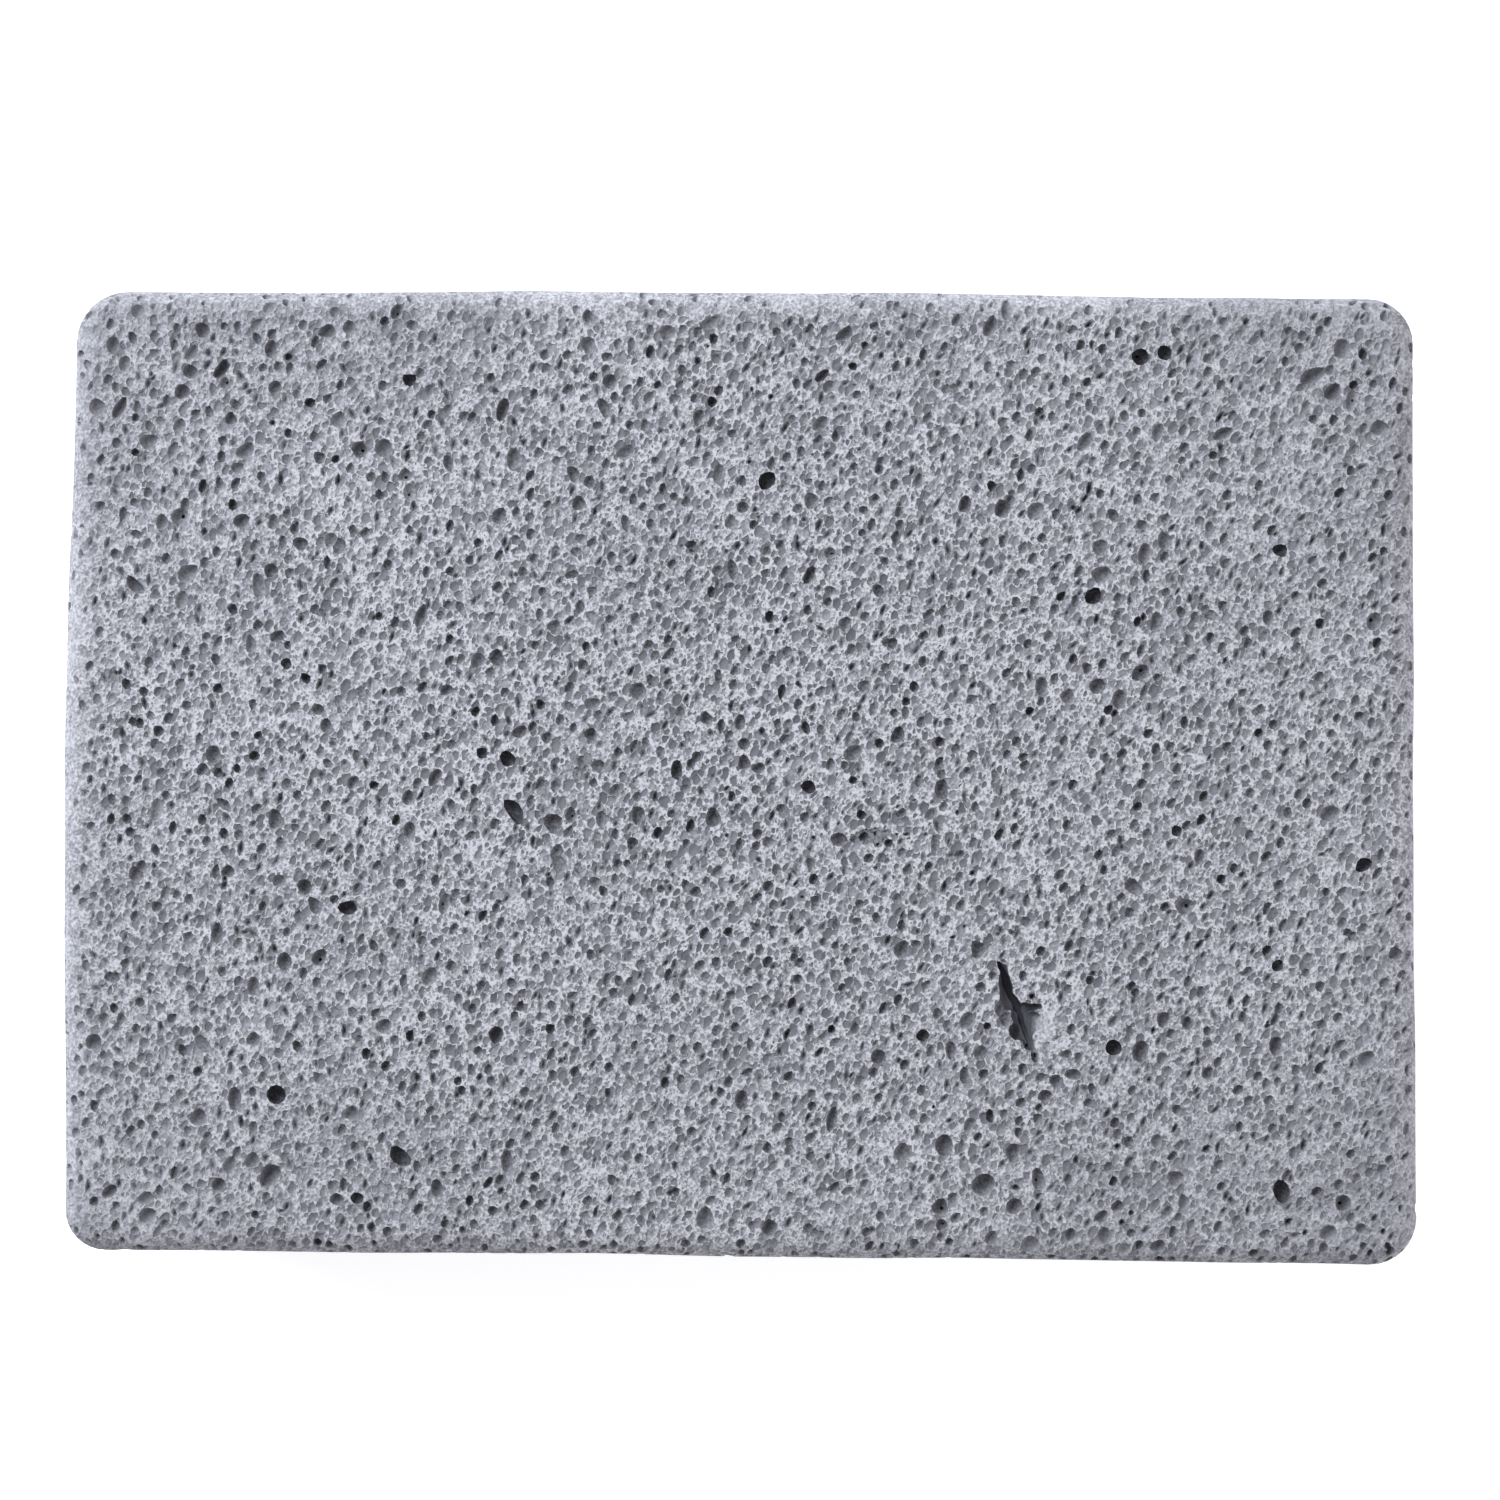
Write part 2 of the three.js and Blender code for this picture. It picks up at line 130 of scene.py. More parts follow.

# The bubbles that stand out on the worked face: x, y, half length, half width, turn in degrees, and which of
# the tones below they have, the darker ones partly painted shade
HAND_SET = {
    "upper_left": [
        (-30.7, 33.1, 0.71, 0.52, 15, 2), (-29.1, 33.4, 0.52, 0.52, 0, 1), (-40, 33.2, 0.6, 0.6, 0, 2),
        (-40.8, 31.5, 0.67, 0.48, 50, 1), (-40.9, 30.1, 0.6, 0.56, 0, 2), (-41.5, 28.6, 0.63, 0.6, 0, 2),
        (-34.9, 31.8, 0.67, 0.52, 90, 2), (-24.6, 29.5, 0.52, 0.48, 0, 3), (-44, 24.9, 0.71, 0.6, 20, 1),
        (-28.3, 24.3, 0.63, 0.63, 0, 2), (-26.5, 24.4, 0.74, 0.71, 90, 1), (-45.8, 30.7, 0.67, 0.45, 85, 1),
        (-24.9, 22.4, 0.56, 0.52, 0, 1), (-41.7, 19.3, 0.74, 0.63, 60, 1), (-37.1, 19, 0.63, 0.56, 0, 2),
        (-41.1, 15.1, 0.89, 0.63, 40, 1), (-34.9, 15.3, 0.56, 0.56, 0, 2), (-35.8, 14.1, 1.04, 0.52, 100, 1),
        (-32.7, 17.3, 0.6, 0.52, 0, 2), (-34.4, 10.4, 0.6, 0.48, 20, 2), (-36.4, 9.8, 0.74, 0.41, 100, 1),
        (-33.6, 31.2, 0.33, 0.33, 0, 3), (-44.8, 34.6, 0.6, 0.5, 90, 1), (-35, 34.9, 0.6, 0.45, 20, 1),
        (-36, 33.6, 0.6, 0.4, 50, 1), (-34.6, 28.9, 0.6, 0.5, 90, 2), (-30.7, 28.1, 0.38, 0.38, 0, 2),
        (-32, 27.8, 0.45, 0.4, 0, 3), (-40.5, 27, 0.42, 0.35, 0, 2), (-37.9, 26.6, 0.5, 0.5, 0, 2),
        (-34.8, 26.3, 0.28, 0.28, 0, 3), (-45, 24.1, 0.36, 0.33, 0, 3), (-36.8, 24.2, 0.75, 0.6, 30, 1),
        (-37.4, 22.95, 0.5, 0.45, 0, 1), (-31.3, 23.7, 0.5, 0.45, 90, 2), (-30.1, 23.6, 0.35, 0.35, 0, 3),
        (-42.2, 24.3, 0.7, 0.4, 60, 1), (-46.7, 22.8, 0.33, 0.3, 0, 2), (-40, 21.6, 0.55, 0.35, 80, 3),
        (-34.2, 22.1, 0.7, 0.3, 88, 3), (-29.9, 22, 0.6, 0.3, 85, 3), (-41.3, 20.2, 0.6, 0.35, 85, 2),
        (-43, 18.9, 0.6, 0.5, 80, 1), (-45.9, 19.5, 0.6, 0.35, 90, 2), (-47.6, 20.1, 0.45, 0.4, 140, 2),
        (-44.9, 18, 0.5, 0.35, 150, 2), (-39.9, 18.2, 0.4, 0.3, 90, 3), (-34.7, 18.9, 0.6, 0.45, 90, 1),
        (-42.7, 16.2, 0.45, 0.4, 90, 2), (-37.4, 33.5, 0.4, 0.33, 90, 2), (-38.4, 33.5, 0.33, 0.33, 0, 2),
        (-42.1, 32.1, 0.45, 0.35, 80, 2), (-35.5, 30.4, 0.4, 0.35, 0, 2), (-34.4, 30.5, 0.4, 0.35, 90, 2),
        (-33.5, 30.4, 0.45, 0.33, 90, 2), (-38.3, 29.2, 0.5, 0.45, 90, 1), (-39.2, 28.8, 0.55, 0.33, 100, 1),
        (-41.7, 26.1, 0.6, 0.45, 60, 1), (-46.4, 24.8, 0.45, 0.38, 90, 2),
    ],
    "upper_middle": [
        (-11.3, 32.1, 0.67, 0.56, 80, 1), (-9.7, 29.4, 0.6, 0.52, 60, 2), (-10.1, 27.4, 0.82, 0.45, 110, 2),
        (-3.1, 26.7, 0.67, 0.41, 75, 2), (-5.4, 33, 0.67, 0.6, 0, 1), (-16.8, 23.6, 0.82, 0.63, 95, 1),
        (-21.7, 23.3, 0.67, 0.41, 105, 2), (-12.4, 22.5, 0.67, 0.45, 110, 2), (-1.6, 22.5, 0.82, 0.45, 85, 1),
        (2, 22, 0.74, 0.6, 60, 3), (-12, 20.3, 0.6, 0.52, 30, 2), (-8.5, 18.8, 0.74, 0.37, 105, 2),
        (5.3, 20.5, 0.6, 0.6, 0, 1), (6, 26.2, 0.67, 0.56, 45, 1), (-18.1, 8.8, 0.67, 0.6, 110, 2),
        (-19.5, 8.6, 0.6, 0.6, 0, 1), (-13.8, 11.1, 0.6, 0.52, 130, 1), (-8.1, 35.1, 0.49, 0.38, 0, 1),
        (-11.3, 34.2, 0.54, 0.44, 90, 2), (-5.8, 34.4, 0.49, 0.38, 0, 1), (-4.4, 34.6, 0.44, 0.35, 90, 1),
        (-2.3, 33.7, 0.76, 0.49, 30, 1), (-12.8, 33.9, 0.25, 0.22, 0, 2), (-9.1, 32.2, 0.44, 0.33, 80, 1),
        (-9.9, 31.2, 0.49, 0.38, 0, 2), (-10, 30.3, 0.38, 0.33, 0, 2), (-6.7, 31.6, 0.54, 0.35, 75, 3),
        (-4.3, 30.2, 0.49, 0.38, 110, 2), (-0.5, 32.5, 0.44, 0.3, 70, 2), (-2.4, 32, 0.19, 0.16, 0, 3),
        (0.5, 32.2, 0.6, 0.33, 80, 1), (1.7, 33.4, 0.38, 0.3, 90, 1), (4, 32, 0.3, 0.27, 0, 2),
        (5.2, 33.3, 0.44, 0.35, 60, 2), (7.8, 32.9, 0.76, 0.49, 40, 2), (10, 33.5, 0.41, 0.35, 0, 2),
        (11.1, 33, 0.33, 0.27, 0, 2), (5.4, 31.8, 0.35, 0.3, 0, 2), (5.8, 31.1, 0.33, 0.3, 0, 2),
        (8.4, 30.5, 0.38, 0.33, 0, 3), (10.5, 31.3, 0.38, 0.27, 80, 3), (11.6, 31.3, 0.44, 0.25, 100, 2),
        (6.1, 29.8, 0.71, 0.38, 40, 3), (-12.8, 28.8, 0.49, 0.38, 20, 2), (-11.5, 29, 0.38, 0.3, 0, 2),
        (-8.4, 28.7, 0.6, 0.33, 60, 1), (-11.6, 28.1, 0.38, 0.33, 0, 1), (-6.8, 28.2, 0.54, 0.38, 45, 1),
        (-4.9, 28.1, 0.44, 0.38, 0, 1), (-3.4, 28.1, 0.38, 0.33, 90, 2), (-8.9, 27.2, 0.38, 0.16, 70, 3),
        (-2, 29.6, 0.38, 0.27, 90, 1), (-0.8, 29, 0.27, 0.25, 0, 2), (0.5, 28.3, 0.44, 0.27, 85, 2),
        (0.9, 28.8, 0.27, 0.19, 90, 3), (2.3, 28.2, 0.27, 0.27, 0, 3), (2.9, 29, 0.33, 0.22, 100, 2),
        (1.8, 30.6, 0.44, 0.25, 90, 2), (2.5, 31, 0.33, 0.25, 90, 2), (1.7, 27.6, 0.38, 0.25, 80, 1),
        (6.6, 29, 0.54, 0.44, 45, 1), (6.9, 28.2, 0.33, 0.25, 0, 1), (8.5, 29.1, 0.25, 0.19, 0, 2),
        (8.7, 28.4, 0.41, 0.33, 0, 2), (7.1, 27.3, 0.33, 0.25, 0, 2), (7.8, 27.4, 0.33, 0.25, 90, 2),
        (4.6, 27.4, 0.35, 0.3, 0, 2), (4.6, 30.1, 0.35, 0.27, 90, 1), (11.2, 28.3, 0.27, 0.25, 0, 1),
        (10.6, 27.5, 0.33, 0.27, 0, 1), (11.1, 26, 0.49, 0.35, 90, 2), (10.3, 25.4, 0.38, 0.3, 60, 2),
        (11.5, 27.1, 0.33, 0.27, 0, 2), (-3.1, 25.7, 0.38, 0.3, 20, 2), (-0.6, 25.5, 0.41, 0.35, 0, 2),
        (5.1, 25.7, 0.44, 0.27, 50, 1), (9.3, 26.8, 0.35, 0.27, 90, 1), (3.9, 26.6, 0.35, 0.33, 90, 1),
        (-10.6, 26.1, 0.44, 0.33, 0, 2), (-10.2, 25.2, 0.3, 0.27, 0, 2), (-8.2, 26.1, 0.41, 0.33, 90, 2),
        (-7.1, 26.1, 0.49, 0.35, 90, 1), (-5.9, 25.7, 0.35, 0.3, 0, 2), (-5.1, 26, 0.27, 0.25, 0, 2),
        (-4.2, 26, 0.33, 0.3, 90, 2), (-4.2, 24.8, 0.38, 0.35, 90, 1), (-12.6, 25.1, 0.25, 0.22, 0, 2),
        (-13.2, 24.3, 0.41, 0.33, 0, 1), (-8.5, 24.1, 0.76, 0.54, 20, 1), (-6.3, 23.5, 0.33, 0.33, 90, 2),
        (-8.7, 23.1, 0.33, 0.25, 90, 2), (-11.2, 21.9, 0.54, 0.41, 110, 2), (-8.6, 22.2, 0.33, 0.25, 90, 2),
        (-9.3, 22.1, 0.3, 0.27, 0, 1), (0.7, 23.4, 0.25, 0.22, 0, 3), (3.2, 22.9, 0.27, 0.27, 90, 2),
        (4, 22.9, 0.3, 0.25, 90, 2), (3.2, 21.5, 0.33, 0.3, 0, 1), (6.1, 21.6, 0.46, 0.33, 90, 2),
        (5.1, 21.9, 0.35, 0.33, 0, 1), (4.3, 19.9, 0.44, 0.38, 0, 1), (4.8, 19.1, 0.33, 0.3, 0, 2),
        (4, 21.5, 0.33, 0.27, 0, 1), (6.5, 23.9, 0.35, 0.33, 0, 2), (5.9, 23.5, 0.22, 0.19, 0, 2),
        (5.4, 23.9, 0.22, 0.19, 0, 2), (4.4, 23.5, 0.25, 0.22, 0, 2), (8.3, 25.2, 0.27, 0.22, 0, 2),
        (8.2, 23.8, 0.38, 0.35, 0, 1), (8.9, 24.3, 0.27, 0.25, 0, 2), (7.6, 22.6, 0.46, 0.3, 90, 2),
        (8.4, 21.9, 0.27, 0.25, 0, 1), (9.5, 22.4, 0.38, 0.16, 120, 2), (10.1, 20.7, 0.33, 0.33, 0, 2),
        (9.2, 19.8, 0.41, 0.35, 0, 2), (9.8, 18.7, 0.54, 0.35, 80, 2), (9.1, 18.1, 0.35, 0.33, 0, 2),
        (8, 20, 0.44, 0.33, 90, 1), (11.6, 17.7, 0.6, 0.38, 90, 2), (0.2, 20, 0.49, 0.44, 0, 2),
        (-0.7, 18.9, 0.6, 0.44, 80, 1), (-1.7, 18.5, 0.27, 0.25, 0, 2), (-4.9, 20.8, 0.38, 0.33, 0, 2),
        (-5.8, 20, 0.38, 0.33, 30, 2), (-6.8, 21.1, 0.27, 0.25, 0, 1), (-2.4, 21.1, 0.27, 0.25, 0, 2),
        (-3.1, 20, 0.33, 0.27, 0, 1), (-10.8, 19.7, 0.38, 0.25, 80, 3), (-9.7, 18.6, 0.44, 0.3, 80, 2),
        (-9.1, 19.9, 0.33, 0.27, 0, 1), (-11.9, 17.7, 0.44, 0.38, 0, 1), (-12.2, 16.7, 0.49, 0.38, 0, 1),
        (-8.5, 16.7, 0.49, 0.27, 15, 2), (-9, 15.4, 0.38, 0.35, 0, 1), (-7.8, 15.1, 0.38, 0.3, 90, 1),
        (-6, 14.9, 0.49, 0.3, 80, 2), (-8.1, 14.1, 0.49, 0.38, 0, 1), (-12.5, 15, 0.6, 0.35, 10, 2),
        (-11, 13.8, 0.44, 0.38, 0, 1), (-6.6, 16.8, 0.27, 0.25, 0, 2), (-4.4, 17.1, 0.27, 0.25, 0, 2),
        (-3.2, 16.2, 0.49, 0.25, 90, 2), (-3.8, 14.8, 0.71, 0.38, 80, 1), (-0.2, 17.1, 0.49, 0.27, 75, 3),
        (-1, 16.7, 0.3, 0.27, 0, 2), (-1.7, 15.3, 0.44, 0.41, 0, 1), (0.9, 16, 0.49, 0.33, 110, 2),
        (1.9, 16, 0.38, 0.33, 0, 1), (2.8, 16, 0.38, 0.33, 90, 1), (3, 17.2, 0.41, 0.38, 0, 2),
        (3, 17.8, 0.33, 0.27, 0, 1), (2.7, 19.2, 0.44, 0.38, 90, 1), (3.7, 19, 0.44, 0.33, 90, 1),
        (5.1, 16, 0.38, 0.25, 60, 1), (6.7, 16.6, 0.46, 0.46, 0, 1), (8, 16.8, 0.49, 0.38, 0, 1),
        (9.1, 16.7, 0.49, 0.27, 75, 2), (10.3, 16.7, 0.38, 0.33, 0, 1), (10.8, 16, 0.35, 0.33, 0, 2),
        (7.4, 18.1, 0.41, 0.25, 90, 1), (10.3, 13.8, 0.54, 0.44, 120, 2), (9.7, 14.6, 0.38, 0.27, 90, 1),
        (6.7, 13.8, 0.44, 0.41, 0, 1), (7.7, 14.4, 0.33, 0.3, 0, 1), (-0.8, 14.1, 0.44, 0.38, 0, 1),
        (0.9, 14.4, 0.44, 0.3, 100, 1), (-2.7, 14.5, 0.35, 0.3, 90, 1), (3.5, 14, 0.44, 0.33, 90, 1),
    ],
    "upper_right": [
        (29.8, 31.2, 0.67, 0.63, 0, 3), (31.6, 31.5, 0.56, 0.56, 0, 3), (42.6, 29.8, 1.04, 0.6, 30, 2),
        (44.1, 28.6, 0.74, 0.6, 40, 2), (44.8, 31.8, 0.82, 0.67, 100, 1), (35.9, 25.5, 0.78, 0.45, 20, 2),
        (31.1, 25.6, 0.74, 0.45, 70, 1), (47.6, 25.9, 0.71, 0.63, 0, 1), (40.2, 16.8, 0.6, 0.45, 160, 3),
        (26.9, 15, 0.78, 0.67, 20, 1), (26.3, 13.4, 0.67, 0.6, 60, 3), (27.8, 19.4, 0.6, 0.41, 120, 2),
        (31.6, 17.5, 0.67, 0.6, 90, 1), (47.2, 11.5, 0.71, 0.63, 60, 1), (39.3, 11.8, 0.6, 0.45, 100, 2),
        (26.6, 6.7, 0.67, 0.6, 20, 2), (24.4, 5.9, 0.67, 0.52, 100, 1), (29.8, 7.7, 0.74, 0.6, 20, 2),
    ],
    "left_middle": [
        (-36.15, 1.52, 0.46, 0.4, 0, 3), (-27.25, -0.66, 0.38, 0.36, 0, 3), (-34.6, -3.2, 0.75, 0.6, 90, 2),
        (-30.8, -2.24, 0.55, 0.4, 60, 2), (-28.8, -0.47, 0.6, 0.42, 60, 2), (-30.8, 3.75, 0.6, 0.45, 100, 2),
        (-31.4, 4.97, 0.5, 0.45, 0, 2), (-27, -6.65, 0.5, 0.33, 50, 2), (-31.7, -9.6, 0.72, 0.42, 110, 2),
        (-38.1, -7.1, 0.5, 0.5, 0, 2), (-39, -7.1, 0.62, 0.32, 85, 2), (-35.6, -5.4, 0.5, 0.4, 60, 2),
        (-36, -2.4, 0.5, 0.35, 40, 2), (-36.2, -3.5, 0.4, 0.3, 30, 2), (-30.8, -6.65, 0.5, 0.4, 30, 1),
        (-29.2, -6.7, 0.55, 0.35, 100, 1), (-34.3, -7.8, 0.55, 0.5, 0, 1), (-32.8, -10.5, 0.62, 0.4, 120, 1),
        (-24.1, -10.8, 0.5, 0.25, 80, 3), (-20.3, -10.2, 0.35, 0.25, 45, 3), (-20.1, -6.7, 0.4, 0.25, 90, 2),
        (-20.4, -14.6, 0.35, 0.28, 0, 2), (-22.5, -13.4, 0.5, 0.25, 80, 3), (-29.6, -12.3, 0.38, 0.22, 95, 3),
        (-38.4, -2.1, 0.7, 0.4, 140, 2), (-33.65, -0.5, 0.45, 0.33, 120, 2),
    ],
    "middle": [
        (-16.8, -2.6, 1.08, 0.56, 122, 3), (-17.3, 1.3, 0.63, 0.56, 100, 3),
        (-13.9, -3.5, 0.82, 0.71, 120, 2), (-12.6, -2.9, 0.6, 0.45, 80, 2), (-10.5, 0.7, 0.6, 0.52, 130, 1),
        (-22.7, -0.1, 0.71, 0.48, 60, 2), (-10.3, -3.2, 0.63, 0.48, 100, 1), (-39.2, 1.6, 0.74, 0.6, 90, 2),
        (-40, 0.5, 0.52, 0.45, 30, 2), (-21.8, 6.4, 0.6, 0.41, 10, 2), (-16.4, 3.3, 0.6, 0.48, 20, 2),
        (5.1, -0.8, 0.56, 0.48, 0, 3), (-24.7, -1.6, 0.6, 0.45, 80, 2), (-24.6, -4, 0.67, 0.45, 90, 2),
        (0, 4, 0.6, 0.45, 90, 2), (15, -1, 0.82, 0.56, 95, 2), (34.2, -6, 0.63, 0.41, 80, 2),
        (33.1, -9.7, 0.71, 0.67, 0, 1), (46.4, -6.6, 0.63, 0.52, 30, 3), (43.9, -2.8, 0.74, 0.67, 30, 1),
        (-11.9, 12.6, 0.54, 0.38, 100, 2), (-9.7, 11.7, 0.38, 0.33, 0, 2), (-7.8, 11.7, 0.49, 0.41, 90, 1),
        (-9.2, 9.9, 0.33, 0.19, 110, 3), (-7.8, 9.6, 0.38, 0.27, 90, 1), (-6.8, 9.8, 0.44, 0.35, 30, 2),
        (-11.7, 8.3, 0.44, 0.41, 0, 2), (-10.4, 7.1, 0.44, 0.27, 70, 2), (-12.7, 6.6, 0.49, 0.38, 60, 2),
        (-11, 5.4, 0.6, 0.49, 0, 1), (-7.6, 6.3, 0.71, 0.65, 60, 1), (-6.6, 7.1, 0.54, 0.38, 120, 2),
        (-8.1, 7.8, 0.54, 0.25, 60, 3), (-5.3, 9.1, 0.65, 0.33, 45, 2), (-9.6, 8.3, 0.6, 0.25, 75, 1),
        (-1.6, 11, 0.49, 0.27, 80, 2), (-0.3, 10.2, 0.38, 0.33, 0, 2), (0.7, 9.4, 0.44, 0.25, 100, 3),
        (1.9, 9.9, 0.6, 0.27, 90, 1), (-1.6, 7.4, 0.6, 0.33, 100, 2), (-4.2, 6.6, 0.27, 0.27, 0, 2),
        (-2.5, 4.3, 0.52, 0.49, 0, 2), (0.1, 5.1, 0.38, 0.25, 90, 2), (0.3, 2.4, 0.49, 0.46, 90, 2),
        (0.3, 1, 0.6, 0.49, 90, 2), (1.4, 0.6, 0.49, 0.46, 0, 2), (2.8, 3.9, 0.44, 0.33, 90, 2),
        (4.9, 3.6, 0.6, 0.33, 110, 3), (3.1, 6.3, 0.6, 0.33, 80, 3), (4.4, 6.8, 0.44, 0.25, 130, 3),
        (1.4, 6.8, 0.38, 0.25, 90, 2), (3.4, 11.7, 0.38, 0.25, 60, 3), (6, 11, 0.49, 0.22, 150, 3),
        (5.3, 11.5, 0.33, 0.25, 0, 2), (7.8, 11.3, 0.6, 0.49, 90, 1), (6, 6.3, 0.54, 0.38, 40, 1),
        (9.2, 6.7, 0.49, 0.49, 0, 1), (9.6, 9.6, 0.44, 0.27, 110, 2), (8.4, 1.7, 0.76, 0.6, 40, 1),
        (7.8, 0.8, 0.38, 0.33, 90, 2), (5.4, 2.3, 0.44, 0.27, 90, 2), (4, 2, 0.33, 0.3, 0, 2),
        (-6.3, -1.5, 0.54, 0.27, 80, 3), (-4.1, -0.9, 0.41, 0.35, 0, 1), (-9.3, -1.1, 0.54, 0.49, 90, 1),
        (-11.1, 3.1, 0.52, 0.52, 0, 2), (-12.4, 3.6, 0.38, 0.33, 90, 2), (-7.6, -2.9, 0.74, 0.54, 90, 2),
        (-5.1, -2.8, 0.38, 0.33, 0, 2), (-2, -3.1, 0.76, 0.6, 90, 2), (-3.7, -3.7, 0.6, 0.33, 70, 3),
        (-6.1, -4.2, 0.49, 0.38, 90, 3), (-1, -0.9, 0.33, 0.22, 30, 3), (1.2, -1, 0.41, 0.38, 0, 1),
        (2.3, -0.9, 0.54, 0.38, 90, 1), (0.4, -1.8, 0.33, 0.3, 0, 2), (1.7, -1.8, 0.38, 0.27, 60, 1),
        (-9.3, -4.3, 0.44, 0.33, 90, 2), (-8.3, -3.9, 0.6, 0.27, 60, 2), (-8, -5, 0.49, 0.46, 0, 2),
        (-4, -5, 0.38, 0.33, 90, 2), (-2.5, -5.5, 0.44, 0.25, 80, 2), (-1, -4.4, 0.19, 0.19, 0, 3),
        (0.1, -3.2, 0.33, 0.22, 0, 2), (1.3, -4.3, 0.41, 0.41, 0, 2), (2.1, -4.9, 0.49, 0.41, 0, 1),
        (4, -5.6, 0.38, 0.27, 0, 1), (1.4, -6.2, 0.38, 0.22, 140, 3), (-9.1, -6.5, 0.38, 0.38, 0, 2),
        (-8.4, -6.5, 0.33, 0.33, 0, 2), (-7.9, -7.3, 0.49, 0.25, 90, 1), (-9.3, -7.7, 0.49, 0.33, 90, 1),
        (-10.8, -7.9, 0.49, 0.44, 0, 1), (-5.9, -8.4, 0.33, 0.33, 0, 2), (-5, -7.4, 0.3, 0.25, 90, 2),
        (-3.3, -8.6, 0.46, 0.41, 0, 2), (-2.5, -7.8, 0.35, 0.35, 0, 1), (-1.7, -7.1, 0.54, 0.41, 60, 1),
        (-1.3, -8.5, 0.49, 0.27, 80, 1), (-3.1, -6.5, 0.38, 0.27, 90, 1), (2.1, -8.2, 0.44, 0.44, 0, 2),
        (2.7, -7, 0.44, 0.38, 90, 1),
    ],
    "torn_patch": [
        (7.37, -4.71, 0.68, 0.53, 155, 2), (9.2, -4.5, 0.44, 0.4, 45, 3), (8.5, -4.71, 0.36, 0.33, 0, 2),
        (9.41, -4.02, 0.22, 0.14, 0, 3), (10.07, -4.28, 0.42, 0.26, 90, 3), (10.04, -3.91, 0.22, 0.14, 0, 3),
        (10.84, -4.16, 0.42, 0.22, 20, 2), (11.06, -4.98, 0.38, 0.34, 140, 3),
        (10.2, -5.11, 0.28, 0.26, 0, 3), (10.68, -4.71, 0.25, 0.15, 140, 3), (11.66, -4.36, 0.17, 0.16, 0, 3),
        (12.41, -4.32, 0.38, 0.2, 10, 3), (9.03, -2.87, 0.45, 0.35, 150, 3), (12.01, -2.74, 0.5, 0.35, 20, 2),
        (11.9, -3.43, 0.4, 0.33, 0, 0), (14.15, -2.87, 0.55, 0.4, 30, 1), (14.35, -1.93, 0.32, 0.3, 0, 1),
        (12.92, -1.84, 0.32, 0.2, 15, 2), (11.75, -1.63, 0.24, 0.2, 90, 2), (13.82, -4.34, 0.28, 0.26, 0, 2),
        (14.53, -5.02, 0.75, 0.38, 95, 1), (15.54, -4.86, 0.4, 0.15, 75, 3), (15.41, -6.41, 0.7, 0.2, 85, 1),
        (9.57, -6.1, 0.42, 0.4, 0, 2), (10.11, -6.88, 0.28, 0.26, 0, 2), (7.75, -7, 0.5, 0.26, 90, 2),
        (9.43, -7.69, 0.3, 0.2, 120, 3), (9.99, -8.06, 0.42, 0.25, 30, 2), (7.47, -8.38, 0.5, 0.32, 90, 1),
        (15.2, -8.25, 0.55, 0.28, 75, 3), (13.45, -7.47, 0.5, 0.28, 85, 2), (12.44, -8.16, 0.3, 0.22, 30, 1),
        (11.43, -7.58, 0.28, 0.15, 110, 2), (7.65, -2.67, 0.22, 0.18, 90, 2), (7.34, -3.54, 0.24, 0.2, 80, 2),
        (6.55, -2, 0.6, 0.38, 100, 1), (6.48, -3.75, 0.5, 0.3, 90, 2), (7.6, -5.66, 0.3, 0.25, 90, 2),
        (10.84, -3.49, 0.3, 0.22, 0, 1), (11.16, -2.95, 0.4, 0.18, 90, 2), (11.75, -2.21, 0.3, 0.15, 30, 3),
        (5.6, -9.3, 0.5, 0.4, 90, 2), (4.6, -9, 0.22, 0.2, 0, 3), (8.9, -9.5, 0.38, 0.36, 0, 2),
        (11, -12.2, 0.5, 0.28, 70, 3), (11.7, -9.1, 0.45, 0.4, 80, 1), (13.1, -9.4, 0.33, 0.3, 0, 2),
        (8.7, -10.8, 0.4, 0.32, 0, 2), (7.1, -12.6, 0.35, 0.33, 0, 2), (8.6, -13, 0.4, 0.3, 20, 2),
        (13.3, -11.6, 0.33, 0.28, 90, 2), (15.15, -11.1, 0.3, 0.3, 0, 2), (16.7, -11.2, 0.17, 0.17, 0, 3),
        (15.85, -12, 0.28, 0.2, 20, 3), (13.1, -12.5, 0.45, 0.35, 160, 2), (3.7, -4.7, 0.4, 0.3, 80, 2),
        (5.5, -4.6, 0.24, 0.22, 0, 3), (8.4, -0.3, 0.35, 0.33, 0, 3), (16.2, -2.7, 0.3, 0.22, 90, 3),
        (17.5, -2.3, 0.45, 0.35, 90, 2), (16.9, 0.4, 0.35, 0.33, 0, 2), (11.7, 0.4, 0.35, 0.3, 120, 2),
        (12, -0.7, 0.25, 0.2, 0, 2), (10.7, -1.2, 0.35, 0.22, 90, 2), (6.7, 0.9, 0.5, 0.33, 80, 2),
        (4.5, 0.4, 0.5, 0.28, 70, 2), (17.3, -7.2, 0.3, 0.28, 0, 3),
    ],
    "lower_left": [
        (-29.2, -9.8, 0.67, 0.56, 5, 3), (-38.9, -11.7, 0.82, 0.48, 100, 2), (-43.4, -9.7, 0.45, 0.41, 0, 2),
        (-33.9, -13.8, 0.71, 0.6, 90, 2), (-31.3, -13.5, 0.67, 0.6, 70, 2), (-48.1, -19.8, 0.67, 0.63, 30, 2),
        (-36.2, -19.6, 0.56, 0.56, 0, 1), (-34.5, -23.7, 0.74, 0.71, 45, 3), (-37.6, -24, 0.89, 0.56, 95, 2),
        (-40.3, -25.4, 0.67, 0.67, 0, 1), (-35, -29.7, 0.93, 0.78, 60, 2), (-38.8, -30.4, 0.56, 0.52, 0, 2),
